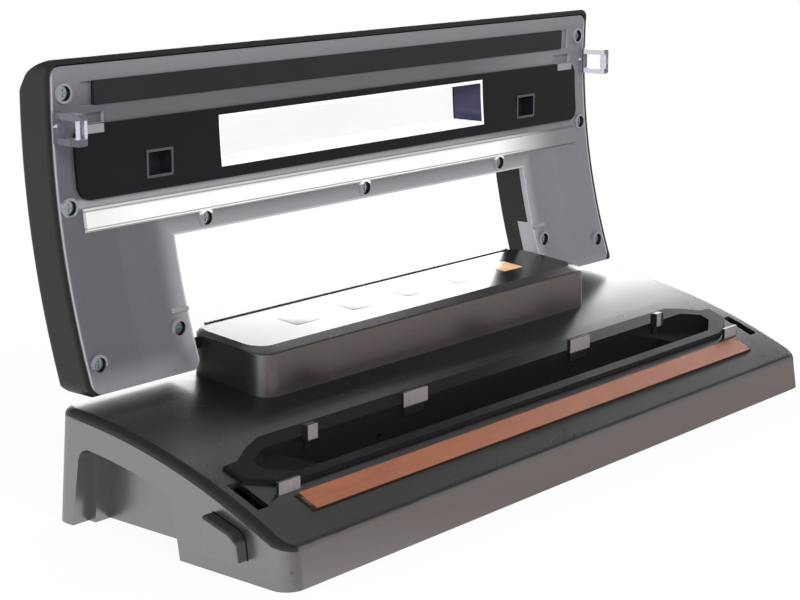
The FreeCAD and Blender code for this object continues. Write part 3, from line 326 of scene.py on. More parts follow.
@dataclass(frozen=True)
class MouldedPlastic(Finish):
    """Satin plastic with a fine grain and slightly uneven gloss."""

    colour: Colour
    roughness: float
    ior: float = 1.5
    gloss: float = 0.5
    grain: float = 0.03
    grain_scale: float = 1500.0
    cloud_scale: float = 22.0
    spread: float = 0.25
    dust: float = 0.0
    dust_scale: float = 520.0
    dust_colour: Colour = (0.3, 0.28, 0.27)

    def skin(self, recipe: Recipe, dim: float = 1.0) -> Wire:
        """Mix the surface.

        Args:
            recipe: the tree that it goes into.
            dim: how much of the gloss is kept.

        Returns:
            Its shader.
        """
        where = recipe.place()
        cloud = recipe.noise(where, self.cloud_scale, 4.0)
        fine = recipe.noise(where, self.grain_scale, 2.0)
        skin = recipe.mix(cloud, shade(self.colour, 1 - self.spread), shade(self.colour, 1 + self.spread))
        rough = self.roughness - 0.05 + 0.1 * cloud
        if self.dust:
            cells = {"Vector": where, "Scale": self.dust_scale}
            away = recipe.wire("ShaderNodeTexVoronoi", {}, cells, "Distance")
            specks = recipe.ease(away, 0.08, 0.03) * recipe.ease(cloud, 0.46, 0.62)
            skin = recipe.mix(self.dust * specks, skin, self.dust_colour)
        return recipe.shader({
            "Base Color": skin,
            "Roughness": rough,
            "IOR": self.ior,
            "Specular IOR Level": self.gloss * dim,
            "Normal": recipe.bump(fine, self.grain, 0.1 * MM),
        })


@dataclass(frozen=True)
class PaintedShadePlastic(MouldedPlastic):
    """Satin plastic with painted shade: a matt, coarser, near-black strip on faces leaning to either end, and
    a less glossy copy of itself on flat tops.
    """

    # colour of the matt strip of painted shade
    rim: Colour = (0.012, 0.011, 0.0115)
    end_shade_across: tuple[float, float] = (0.06, 0.18)
    end_shade_up: tuple[float, float] = (0.08, 0.24)
    top_shade_up: tuple[float, float] = (0.935, 0.975)
    top_shade_gloss: float = 0.45
    band_scale: float = 900.0

    def skin(self, recipe: Recipe) -> Wire:
        """Mix the surface.

        Args:
            recipe: the tree that it goes into.

        Returns:
            Its shader.
        """
        across, _, up = recipe.axes(output="Normal")
        # painted shade: faces leaning to either end turn matt and near-black
        end_shade = recipe.ease(abs(across), *self.end_shade_across) * recipe.ease(up, *self.end_shade_up)
        coarse = recipe.noise(recipe.place(), self.band_scale, 3.0)
        matt = recipe.shader({
            "Base Color": recipe.mix(coarse, shade(self.rim, 0.8), shade(self.rim, 1.2)),
            "Roughness": 0.42 + 0.1 * coarse,
            "Normal": recipe.bump(coarse, 0.06, 0.1 * MM),
        })
        # painted shade: flat tops take a less glossy copy of the satin
        top_shade = recipe.ease(up, *self.top_shade_up)
        satin = recipe.blend(top_shade, super().skin(recipe), super().skin(recipe, self.top_shade_gloss))
        return recipe.blend(end_shade, satin, matt)


@dataclass(frozen=True)
class PaintedSheenStop(Finish):
    """Black plastic with a painted pale reflection, in upright streaks, on the front faces of the stops'
    upper blocks and of the guides.
    """

    colour: Colour
    # colour of the painted pale reflection on the front faces
    worn: Colour
    roughness: float = 0.3
    block_low: float = 34.9 * MM
    guide_y: float = -34.0 * MM
    sheen_end_x: tuple[float, float] = (124.5 * MM, 123.0 * MM)
    streak_scale: float = 1700.0
    cloud_scale: float = 90.0

    def skin(self, recipe: Recipe) -> Wire:
        """Mix the surface.

        Args:
            recipe: the tree that it goes into.

        Returns:
            Its shader.
        """
        streak = recipe.noise(recipe.place(scale=(1.0, 1.0, 0.04)), self.streak_scale, 3.0)
        cloud = recipe.noise(recipe.place(), self.cloud_scale, 3.0)
        facing = recipe.axes(output="Normal")[1]
        x, y, z = recipe.axes()
        # the painted reflection covers the guides' fronts and the upper blocks of the stops, except the
        # outermost stop on the right
        on_guide = recipe.ease(y, self.guide_y, self.guide_y - MM)
        on_stop = recipe.ease(z, self.block_low - 0.3 * MM, self.block_low) * recipe.ease(x, *self.sheen_end_x)
        sheen_area = on_stop | on_guide
        # painted reflection: front faces turn pale, in streaks
        painted_sheen = recipe.ease(-facing, 0.55, 0.9) * sheen_area * (0.45 + 0.6 * streak + 0.35 * cloud)
        return recipe.shader({
            "Base Color": recipe.mix(painted_sheen, self.colour, self.worn),
            "Roughness": self.roughness + 0.2 * streak,
            "IOR": 1.6,
            "Normal": recipe.bump(streak, 0.12, 0.06 * MM),
        })


@dataclass(frozen=True)
class PaintedReflectionRib(Finish):
    """Frosted clear bar with a painted pale reflection along most of its length, fading to its own smoky tone
    towards its right end; painted shade darkens its left end and its top, and two thin darker lines run along
    it.
    """

    # colour: the painted pale reflection; clear: the bar's own smoky tone
    colour: Colour
    clear: Colour
    reflection_fade_x: tuple[float, float] = (82.0 * MM, 150.0 * MM)
    lines_z: tuple[float, float] = (113.2 * MM, 119.9 * MM)
    line_half: float = 0.45 * MM
    shade_left_x: tuple[float, float] = (-110.0 * MM, -165.0 * MM)
    cloud_scale: float = 160.0

    def skin(self, recipe: Recipe) -> Wire:
        """Mix the surface.

        Args:
            recipe: the tree that it goes into.

        Returns:
            Its shader.
        """
        cloud = recipe.noise(recipe.place(scale=(0.2, 1.0, 1.0)), self.cloud_scale, 3.0)
        x, _, z = recipe.axes()
        # painted reflection: fades out towards the right end
        right = recipe.ease(x, *self.reflection_fade_x)
        low, high = self.lines_z
        line = recipe.ease(abs(z - low), self.line_half, 0.4 * self.line_half)
        line = line | recipe.ease(abs(z - high), self.line_half, 0.4 * self.line_half)
        # painted shade: darker at the left end and along the top
        dim = 0.3 * recipe.ease(x, *self.shade_left_x) | (0.35 * recipe.ease(z, high - 2.0 * MM, high))
        body = recipe.mix(cloud, shade(self.colour, 0.94), shade(self.colour, 1.06))
        body = recipe.mix(right | (0.75 * line) | dim, body, self.clear)
        return recipe.shader({
            "Base Color": body,
            "Roughness": 0.16 + 0.1 * cloud,
            "Normal": recipe.bump(cloud, 0.02, 0.05 * MM),
        })


@dataclass(frozen=True)
class CupPlastic(Finish):
    """Dark glossy cup with a painted highlight: the front faces of its frame are paler."""

    colour: Colour
    # colour of the painted highlight on the frame's front
    rim: Colour
    highlight_y: float = 65.0 * MM
    cloud_scale: float = 260.0

    def skin(self, recipe: Recipe) -> Wire:
        """Mix the surface.

        Args:
            recipe: the tree that it goes into.

        Returns:
            Its shader.
        """
        cloud = recipe.noise(recipe.place(), self.cloud_scale, 3.0)
        facing = recipe.axes(output="Normal")[1]
        y = recipe.axes()[1]
        # painted highlight on the front faces of the frame
        front = recipe.ease(-facing, 0.6, 0.9) * recipe.ease(y, self.highlight_y, self.highlight_y - MM)
        return recipe.shader({
            "Base Color": recipe.mix(front * (0.7 + 0.5 * cloud), self.colour, self.rim),
            "Roughness": 0.18 + 0.12 * cloud,
            "Normal": recipe.bump(cloud, 0.02, 0.05 * MM),
        })


@dataclass(frozen=True)
class SmokyCover(Finish):
    """Smoky clear sheet over the dark shell, with painted light: paler along its cut edges, round the notch,
    in a strip just above the rib, towards its top and bottom, and towards its right end.
    """

    colour: Colour
    # colour of the painted light
    edge: Colour
    cool: Colour
    half_width: float = 175.6 * MM
    foot_z: float = 51.1 * MM
    notch_half: float = 118.3 * MM
    notch_top: float = 104.4 * MM
    notch_glow: float = 14.0 * MM
    notch_line: float = 1.5 * MM
    edge_glow: float = 1.3 * MM
    band_x: float = 148.0 * MM
    sill_z: float = 122.8 * MM
    brow_z: float = 158.0 * MM
    top_z: float = 176.0 * MM
    right_x: tuple[float, float] = (60.0 * MM, 150.0 * MM)
    cloud_scale: float = 24.0
    frost_scale: float = 2600.0

    def skin(self, recipe: Recipe) -> Wire:
        """Mix the surface.

        Args:
            recipe: the tree that it goes into.

        Returns:
            Its shader.
        """
        where = recipe.place()
        cloud = recipe.noise(where, self.cloud_scale, 4.0)
        frost = recipe.noise(where, self.frost_scale, 2.0)
        x, _, z = recipe.axes()
        wide = abs(x)
        notch = (wide - self.notch_half) | (z - self.notch_top)
        # painted light round the notch: a bright line on its edge and a glow fading away from it
        line = recipe.ease(notch, self.notch_line, 0.5 * MM)
        # painted light in a strip just above the rib, fading towards the right
        sill_glow = recipe.ease(abs(z - self.sill_z), 2.4 * MM, 1.0 * MM) * recipe.ease(x, *reversed(self.right_x))
        notch_painted_glow = 0.5 * recipe.ease(notch, self.notch_glow, 0.0) ** 1.5 | (0.95 * line) | (0.5 * sill_glow)
        # painted light along the cut edges, towards the top and bottom, and towards the right end
        rim = recipe.ease(self.half_width - wide, self.edge_glow, 0.2 * MM)
        top_glow = recipe.ease(z, self.brow_z, self.top_z)
        low_glow = recipe.ease(z, self.foot_z + 12.0 * MM, self.foot_z) | (0.8 * top_glow)
        right = recipe.ease(x, *self.right_x)
        behind = recipe.ease(wide, self.band_x - 0.6 * MM, self.band_x + 0.6 * MM)
        body = recipe.mix(cloud, shade(self.colour, 0.9), shade(self.colour, 1.1))
        body = recipe.mix(0.5 * behind, body, self.cool)
        # the painted light is laid over the sheet's own colour
        body = recipe.mix(notch_painted_glow | (0.9 * rim) | (0.3 * low_glow) | (0.2 * right), body, self.edge)
        return recipe.shader({
            "Base Color": body,
            "Roughness": 0.22 + 0.08 * frost,
            "IOR": 1.5,
            "Normal": recipe.bump(frost, 0.01, 0.05 * MM),
        })


@dataclass(frozen=True)
class ClearPlastic(Finish):
    """Clear or smoky plastic that lets light through."""

    colour: Colour
    transmission: float
    roughness: float
    ior: float
    haze: float = 0.05
    cloud_scale: float = 30.0

    def skin(self, recipe: Recipe) -> Wire:
        """Mix the surface.

        Args:
            recipe: the tree that it goes into.

        Returns:
            Its shader.
        """
        cloud = recipe.noise(recipe.place(), self.cloud_scale, 3.0)
        return recipe.shader({
            "Base Color": recipe.mix(cloud, shade(self.colour, 0.92), shade(self.colour, 1.08)),
            "Roughness": self.roughness + self.haze * cloud,
            "IOR": self.ior,
            "Transmission Weight": self.transmission,
        })


@dataclass(frozen=True)
class SoftRubber(Finish):
    """Black moulded rubber with a dusty, slightly grainy skin."""

    colour: Colour
    roughness: float
    cloud_scale: float = 40.0
    grain_scale: float = 2600.0

    def skin(self, recipe: Recipe) -> Wire:
        """Mix the surface.

        Args:
            recipe: the tree that it goes into.

        Returns:
            Its shader.
        """
        where = recipe.place()
        cloud = recipe.noise(where, self.cloud_scale, 5.0)
        fine = recipe.noise(where, self.grain_scale, 3.0)
        return recipe.shader({
            "Base Color": recipe.mix(cloud, shade(self.colour, 0.7), shade(self.colour, 1.35)),
            "Roughness": self.roughness - 0.06 + 0.12 * cloud,
            "Specular IOR Level": 0.2,
            "Normal": recipe.bump(fine, 0.12, 0.1 * MM),
        })


@dataclass(frozen=True)
class WovenTape(Finish):
    """Brown release tape: a fine weave under a resin skin, with long streaks that are partly its own tone and
    partly painted highlight.
    """

    colour: Colour
    tilt: float
    thread_scale: float = 420.0
    streak_scale: float = 900.0
    cloud_scale: float = 60.0

    def skin(self, recipe: Recipe) -> Wire:
        """Mix the surface.

        Args:
            recipe: the tree that it goes into.

        Returns:
            Its shader.
        """
        flat = recipe.place(turn=(-self.tilt, 0.0, 0.0))
        inputs = {"Vector": flat, "Scale": self.thread_scale}
        weave = recipe.wire("ShaderNodeTexWave", {"bands_direction": "X"}, inputs, "Fac")
        weave = weave * recipe.wire("ShaderNodeTexWave", {"bands_direction": "Y"}, inputs, "Fac")
        streak = recipe.noise(recipe.place(scale=(0.06, 1.0, 1.0)), self.streak_scale, 3.0)
        cloud = recipe.noise(recipe.place(), self.cloud_scale, 4.0)
        # the lighter streaks are partly painted highlight along the tape
        tone = recipe.ease(0.65 * streak + 0.25 * cloud + 0.1 * weave, 0.3, 0.62)
        return recipe.shader({
            "Base Color": recipe.mix(tone, shade(self.colour, 0.84), shade(self.colour, 1.16)),
            "Roughness": 0.3 + 0.25 * streak,
            "Coat Weight": 0.5,
            "Coat Roughness": 0.25,
            "Normal": recipe.bump(weave, 0.12, 0.08 * MM),
        })


@dataclass(frozen=True)
class PlatedMetal(Finish):
    """Plated or drawn metal with a faint uneven tint."""

    colour: Colour
    tint: Colour
    roughness: float
    cloud_scale: float = 350.0
    grain_scale: float = 3000.0

    def skin(self, recipe: Recipe) -> Wire:
        """Mix the surface.

        Args:
            recipe: the tree that it goes into.

        Returns:
            Its shader.
        """
        where = recipe.place()
        cloud = recipe.noise(where, self.cloud_scale, 3.0)
        fine = recipe.noise(where, self.grain_scale, 2.0)
        return recipe.shader({
            "Base Color": recipe.mix(cloud, self.colour, self.tint),
            "Metallic": 1.0,
            "Roughness": self.roughness - 0.1 + 0.2 * cloud,
            "Normal": recipe.bump(fine, 0.08, 0.05 * MM),
        })


@dataclass(frozen=True)
class LitPad(Finish):
    """Amber pad with light behind it, brightest in its middle."""

    colour: Colour
    centre: tuple[float, float, float]
    strength: float
    reach: float = 11.0 * MM
    edge_shade: float = 0.55

    def skin(self, recipe: Recipe) -> Wire:
        """Mix the surface.

        Args:
            recipe: the tree that it goes into.

        Returns:
            Its shader.
        """
        coords = recipe.wire("ShaderNodeTexCoord", {}, {}, "Object")
        ends = {0: coords, 1: self.centre}
        away = recipe.wire("ShaderNodeVectorMath", {"operation": "DISTANCE"}, ends, "Value")
        stops = ((0.0, self.colour), (1.0, shade(self.colour, self.edge_shade)))
        glow = recipe.wire("ShaderNodeValToRGB", {"stops": stops}, {0: away * (1.0 / self.reach)})
        return recipe.shader({
            "Base Color": glow,
            "Roughness": 0.2,
            "Emission Color": glow,
            "Emission Strength": self.strength,
        })


class Slot(Enum):
    """Material slots of the record that new pieces take their finish from."""

    GASKET = "gasket_black"
    PAD = "pad_black"
    RUBBER = "rubber_black"
    FOOT = "foot_rubber"
    STEEL = "steel"
    COVER = "smoky_clear"
    WINDOW = "window_clear"
    KEY = "pad_grey"
    LIT = "pad_lit"


class Body(Enum):
    """Bodies that new pieces ride on."""

    BASE = "base"
    LID = "lid"


@dataclass
class Finishes:
    """Every finish of the object, and the nodes that wear it."""

    made: dict[str, bpy.types.Material] = field(default_factory=dict)
    worn: dict[str, tuple[str, ...]] = field(default_factory=lambda: {
        "housing_satin": ("control_housing",),
        "satin_black": ("base_housing", "bottom_plate", "key_switches", "pump_head", "lid_switch",
                        "latch_catch_left", "latch_catch_right"),
        "lid_satin": ("lid_shell",),
        "button_satin": ("release_button_left", "release_button_right"),
        "panel_gloss": ("panel_overlay",),
        "pad_film": ("control_pad_1", "control_pad_2", "control_pad_3", "control_pad_4"),
        "amber_glow": ("control_pad_5", "status_lamp"),
        "trough_gloss": ("vacuum_trough", "vacuum_port"),
        "stop_satin": ("bag_stops", "guide_blocks"),
        "smoky_cover": ("lid_cover",),
        "window_clear": ("viewing_window",),
        "hook_clear": ("latch_hook_left", "latch_hook_right"),
        "socket_gloss": ("tab_sockets",),
        "brown_tape": ("seal_tape",),
        "bar_laminate": ("heat_bar",),
        "zinc": ("lid_screws", "base_screws"),
        "pin_black": ("hinge_pin_left", "hinge_pin_right"),
        "drawn_steel": ("heating_wire", "pump_motor", "latch_spring_left", "latch_spring_right"),
        "core_grey": ("transformer",),
        "board_green": ("control_board", "power_board"),
        "grey_hose": ("pump_hose",),
        "black_rubber": ("lower_gasket", "chamber_pad", "press_rubber", "feet", "lead_gland"),
    })

    def recipes(self) -> tuple[Finish, ...]:
        """All finishes with their colours.

        Returns:
            The finishes.
        """
        pad_low, pad_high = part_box("control_pad_5")
        lit_middle = tuple((pad_low + pad_high) / 2)
        return (
            # the matt end strips and duller flat tops of these two finishes are painted shade; on
            # housing_satin the strip covers the whole side faces
            PaintedShadePlastic("satin_black", (0.006, 0.0048, 0.0048), 0.28, 2.1, 1.0, dust=0.08),
            PaintedShadePlastic("housing_satin", (0.006, 0.0048, 0.0048), 0.28, 1.9, 1.0, dust=0.08,
                          rim=(0.009, 0.0085, 0.0095), end_shade_across=(0.75, 0.97), end_shade_up=(-2.0, -1.0)),
            MouldedPlastic("lid_satin", (0.009, 0.0085, 0.009), 0.45, 1.5, 0.4, dust=0.08),
            MouldedPlastic("button_satin", (0.008, 0.006, 0.006), 0.26, 2.1, 1.0),
            MouldedPlastic("panel_gloss", (0.01, 0.01, 0.012), 0.19, 1.76, grain=0.01),
            MouldedPlastic("pad_film", (0.016, 0.016, 0.018), 0.23, 1.85, grain=0.01),
            MouldedPlastic("trough_gloss", (0.01, 0.01, 0.0115), 0.16, 1.5, grain=0.01),
            # the second colour of the sockets is a painted highlight
            CupPlastic("socket_gloss", (0.014, 0.014, 0.02), (0.06, 0.06, 0.07)),
            MouldedPlastic("bar_laminate", (0.03, 0.02, 0.014), 0.5),
            MouldedPlastic("core_grey", (0.1, 0.1, 0.1), 0.5),
            MouldedPlastic("board_green", (0.02, 0.1, 0.04), 0.35),
            # painted shade on the walls of the cover's screw holes
            MouldedPlastic("hole_shade", (0.008, 0.009, 0.01), 0.4),
            MouldedPlastic("pin_black", (0.008, 0.008, 0.008), 0.3),
            # the pale colour of the rib is a painted reflection
            PaintedReflectionRib("pale_rib", (0.9, 0.885, 0.865), (0.16, 0.155, 0.165)),
            # the next two are painted light on the cover's cut edges and screw seats
            MouldedPlastic("cover_edge_glow", (0.42, 0.42, 0.45), 0.16, 1.5, grain=0.01, spread=0.15),
            MouldedPlastic("seat_highlight", (0.22, 0.22, 0.235), 0.16, 1.5, grain=0.01, spread=0.15),
            # painted light: white for the window's front rim
            MouldedPlastic("rim_painted_white", (0.95, 0.95, 0.97), 0.16, 1.5, grain=0.01, spread=0.05),
            MouldedPlastic("liner_violet", (0.03, 0.03, 0.075), 0.2, 1.5, grain=0.01),
            # the second colour of the stops is a painted pale reflection
            PaintedSheenStop("stop_satin", (0.009, 0.0075, 0.0075), (0.22, 0.2, 0.2)),
            # the second colour of the cover is painted light
            SmokyCover("smoky_cover", (0.095, 0.093, 0.103), (0.4, 0.4, 0.425), (0.076, 0.076, 0.098)),
            ClearPlastic("window_clear", (0.99, 0.99, 1.0), 1.0, 0.0, ior=1.04, haze=0.005),
            ClearPlastic("hook_clear", (0.66, 0.66, 0.76), 0.92, 0.05, ior=1.3),
            SoftRubber("black_rubber", (0.006, 0.0058, 0.007), 0.42),
            SoftRubber("strip_rubber", (0.017, 0.0155, 0.0185), 0.42),
            SoftRubber("grey_hose", (0.25, 0.25, 0.25), 0.5),
            WovenTape("brown_tape", (0.265, 0.088, 0.042), math.radians(23.2)),
            PlatedMetal("zinc", (0.55, 0.66, 0.67), (0.4, 0.52, 0.54), 0.25),
            # painted light: white for the window's upper and lower walls
            MouldedPlastic("wall_painted_white", (0.95, 0.95, 0.96), 0.3, 1.5, spread=0.04, grain=0.01),
            PlatedMetal("drawn_steel", (0.55, 0.55, 0.55), (0.42, 0.42, 0.43), 0.35),
            LitPad("amber_glow", (1.0, 0.6, 0.34), lit_middle, 0.3),
        )

    def make_all(self) -> None:
        """Build every material."""
        for finish in self.recipes():
            self.made[finish.name] = finish.make()

    def dress(self, piece: bpy.types.Object, name: str) -> None:
        """Put one finish on a piece or a CAD node.

        Args:
            piece: the piece or node.
            name: the finish's name.
        """
        piece.data.materials.clear()
        piece.data.materials.append(self.made[name])

    def dress_nodes(self, nodes: dict[str, bpy.types.Object]) -> None:
        """Put each node's finish on it.

        Args:
            nodes: the CAD nodes by name.
        """
        for name, wearers in self.worn.items():
            for wearer in wearers:
                self.dress(nodes[wearer], name)
        bare = sorted(set(nodes) - {wearer for wearers in self.worn.values() for wearer in wearers})
        LOG.info("nodes without a finish: %s", bare)


def add_piece(name: str, shape: bmesh.types.BMesh, smooth_angle: float = 35.0) -> bpy.types.Object:
    """Turn a bmesh into an object at the origin.

    Args:
        name: the piece's name.
        shape: its form, freed here.
        smooth_angle: edges sharper than this, in degrees, stay crisp.

    Returns:
        The object.
    """
    mesh = bpy.data.meshes.new(name)
    shape.to_mesh(mesh)
    shape.free()
    mesh.shade_smooth()
    mesh.set_sharp_from_angle(angle=math.radians(smooth_angle))
    piece = bpy.data.objects.new(name, mesh)
    bpy.context.scene.collection.objects.link(piece)
    return piece


def merged_copy(node: bpy.types.Object) -> bmesh.types.BMesh:
    """Copy a node's mesh with its shared corners merged.

    Args:
        node: a CAD node.

    Returns:
        The copy.
    """
    shape = bmesh.new()
    shape.from_mesh(node.data)
    bmesh.ops.remove_doubles(shape, verts=shape.verts, dist=MERGE)
    return shape


@dataclass
class LayeredPiece:
    """Copy of one node whose faces wear several finishes."""

    finishes: Finishes
    layers: tuple[str, ...] = ()

    def layer_of(self, face: bmesh.types.BMFace) -> str:
        """A face's finish, which each piece chooses in its own way."""
        raise NotImplementedError

    def layered(self, node: bpy.types.Object, name: str) -> bpy.types.Object:
        """Copy the node and dress each face.

        Args:
            node: the CAD node.
            name: the new piece's name.

        Returns:
            The new piece.
        """
        shape = merged_copy(node)
        shape.normal_update()
        for face in shape.faces:
            face.material_index = self.layers.index(self.layer_of(face))
        piece = add_piece(name, shape)
        for layer in self.layers:
            piece.data.materials.append(self.finishes.made[layer])
        return piece


@dataclass
class LidCover(LayeredPiece):
    """Smoky cover of the lid, with painted light on its cut edges, screw seats and locating rib, and painted
    shade on the walls of its screw holes.
    """

    layers: tuple[str, ...] = ("smoky_cover", "cover_edge_glow", "seat_highlight", "pale_rib", "hole_shade")
    axis_y: float = -244.6 * MM
    axis_z: float = 158.0 * MM
    face_r: float = 310.0 * MM
    rib_low: float = 110.5 * MM
    rib_high: float = 121.8 * MM
    rib_half: float = 164.5 * MM
    proud_by: float = 0.3 * MM
    seat_depth: float = MM
    seat_lean: float = 0.95
    edge_lean: float = 0.75
    hole_lean: float = 0.6
    hole_r: float = 3.1 * MM
    holes: tuple[tuple[float, float], ...] = (
        (169.5, 166.0), (170.3, 122.1), (169.5, 62.0), (125.1, 68.2), (99.6, 108.9), (0.0, 108.9),
    )

    def layer_of(self, face: bmesh.types.BMFace) -> str:
        """Choose a face's finish.

        Args:
            face: one face of the cover.

        Returns:
            Its name.
        """
        middle = face.calc_center_median()
        out = Vector((0.0, middle.y - self.axis_y, middle.z - self.axis_z))
        lean = abs(face.normal.dot(out.normalized()))
        reach = min(math.hypot(abs(middle.x) - x * MM, middle.z - z * MM) for x, z in self.holes)
        # painted shade on the walls of the screw holes
        if lean < self.hole_lean and reach < self.hole_r:
            return "hole_shade"
        proud = out.length < self.face_r - self.proud_by
        in_rib = self.rib_low < middle.z < self.rib_high and abs(middle.x) < self.rib_half
        on_seat = lean > self.seat_lean and out.length > self.face_r - self.seat_depth
        # painted light on the rib, the screw seats and the cut edges
        if proud:
            return "pale_rib" if in_rib and not on_seat else "seat_highlight"
        return "cover_edge_glow" if lean < self.edge_lean else "smoky_cover"

    def true_normals(self, mesh: bpy.types.Mesh) -> None:
        """Shade the sheet as the arc that it is and everything else flat.

        Args:
            mesh: the cover's mesh, with its finishes chosen.
        """
        normals = []
        for polygon in mesh.polygons:
            for index in polygon.vertices:
                place = mesh.vertices[index].co
                out = Vector((0.0, place.y - self.axis_y, place.z - self.axis_z)).normalized()
                side = math.copysign(1.0, polygon.normal.dot(out))
                normals.append(polygon.normal.copy() if polygon.material_index else side * out)
        mesh.normals_split_custom_set(normals)

    def build(self, node: bpy.types.Object) -> None:
        """Make the cover over its plain node.

        Args:
            node: the CAD node lid_cover.
        """
        piece = self.layered(node, "cover_sheet")
        self.true_normals(piece.data)
        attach(piece, Body.LID.value)
        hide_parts("lid_cover")
        LOG.info("cover sheet over lid_cover")


@dataclass
class WindowLiner(LayeredPiece):
    """Clear window with painted light: white on its upper and lower walls and on its front rim, while its end
    walls are dark violet.
    """

    layers: tuple[str, ...] = ("window_clear", "wall_painted_white", "liner_violet", "rim_painted_white")
    half_width: float = 88.0 * MM
    low: float = 129.6 * MM
    high: float = 149.4 * MM
    highlight_y: float = 74.0 * MM
    rim_facing: float = 0.6
    wall_facing: float = 0.8

    def layer_of(self, face: bmesh.types.BMFace) -> str:
        """Choose a face's finish.

        Args:
            face: one face of the window.

        Returns:
            Its name.
        """
        middle = face.calc_center_median()
        inside = abs(middle.x) < self.half_width and self.low < middle.z < self.high
        # painted light: the front rim and the upper and lower walls are white
        if face.normal.y < -self.rim_facing and middle.y < self.highlight_y:
            return "rim_painted_white"
        if inside and abs(face.normal.x) > self.wall_facing:
            return "liner_violet"
        return "wall_painted_white" if inside and abs(face.normal.z) > self.wall_facing else "window_clear"

    def build(self, node: bpy.types.Object) -> None:
        """Make the window over its plain node.

        Args:
            node: the CAD node viewing_window.
        """
        piece = self.layered(node, "window_liner")
        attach(piece, Body.LID.value)
        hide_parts("viewing_window")
        LOG.info("window liner over viewing_window")


@dataclass
class SoftSeals:
    """Rubber pieces with rolled edges, each over the plain solid of one node."""

    finishes: Finishes
    flat_angle: float = math.radians(0.4)
    crease_angle: float = math.radians(28.0)

    def rolled(self, node: bpy.types.Object, name: str, width: float, segments: int) -> bpy.types.Object:
        """Make a copy of a node with rolled edges.

        Args:
            node: the plain solid.
            name: the new piece's name.
            width: how far the roll reaches from each edge.
            segments: steps of the roll.

        Returns:
            The new piece.
        """
        shape = merged_copy(node)
        bmesh.ops.dissolve_limit(shape, angle_limit=self.flat_angle, verts=shape.verts, edges=shape.edges)
        joints = [edge for edge in shape.edges if edge.is_manifold]
        creases = [edge for edge in joints if edge.calc_face_angle() > self.crease_angle]
        bmesh.ops.bevel(
            shape, geom=creases, offset=width, offset_type="OFFSET", segments=segments, profile=0.5,
            affect="EDGES", clamp_overlap=True, material=-1,
        )
        return add_piece(name, shape)

    def build(self, nodes: dict[str, bpy.types.Object]) -> None:
        """Make every seal and foot.

        Args:
            nodes: the CAD nodes by name.
        """
        plan = (
            ("ring_seal", "lower_gasket", 0.35 * MM, 2, Body.BASE, Slot.GASKET),
            ("chamber_seal", "chamber_pad", 0.4 * MM, 2, Body.LID, Slot.PAD),
            ("press_strip", "press_rubber", 0.45 * MM, 3, Body.LID, Slot.RUBBER),
            ("foot_pads", "feet", 0.6 * MM, 3, Body.BASE, Slot.FOOT),
            ("gland_bush", "lead_gland", 0.5 * MM, 3, Body.BASE, Slot.FOOT),
        )
        for name, node, width, segments, body, slot in plan:
            piece = self.rolled(nodes[node], name, width, segments)
            even = piece.modifiers.new("even_shading", "WEIGHTED_NORMAL")
            even.keep_sharp = True
            self.finishes.dress(piece, "strip_rubber" if slot is Slot.RUBBER else "black_rubber")
            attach(piece, body.value)
            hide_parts(node)
            LOG.info("seal %s over %s", name, node)


@dataclass
class PadCaps:
    """Caps of the five pads, which nearly close the gap round them."""

    finishes: Finishes
    count: int = 5
    spread_x: float = 1.021
    spread_y: float = 1.026

    def cap(self, node: bpy.types.Object, name: str) -> bpy.types.Object:
        """Make one cap a little wider than its node.

        Args:
            node: the CAD node of the pad.
            name: the piece's name.

        Returns:
            The cap.
        """
        shape = merged_copy(node)
        low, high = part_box(node.name)
        middle = Matrix.Translation(-(low + high) / 2)
        bmesh.ops.scale(shape, vec=(self.spread_x, self.spread_y, 1.0), space=middle, verts=shape.verts)
        return add_piece(name, shape)

    def build(self, nodes: dict[str, bpy.types.Object]) -> None:
        """Make every cap.

        Args:
            nodes: the CAD nodes by name.
        """
        for number in range(1, self.count + 1):
            lit = number == self.count
            node = "control_pad_%d" % number
            piece = self.cap(nodes[node], "pad_cap_%d" % number)
            self.finishes.dress(piece, "amber_glow" if lit else "pad_film")
            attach(piece, "pad_%d" % number)
            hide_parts(node)
            LOG.info("cap over %s", node)


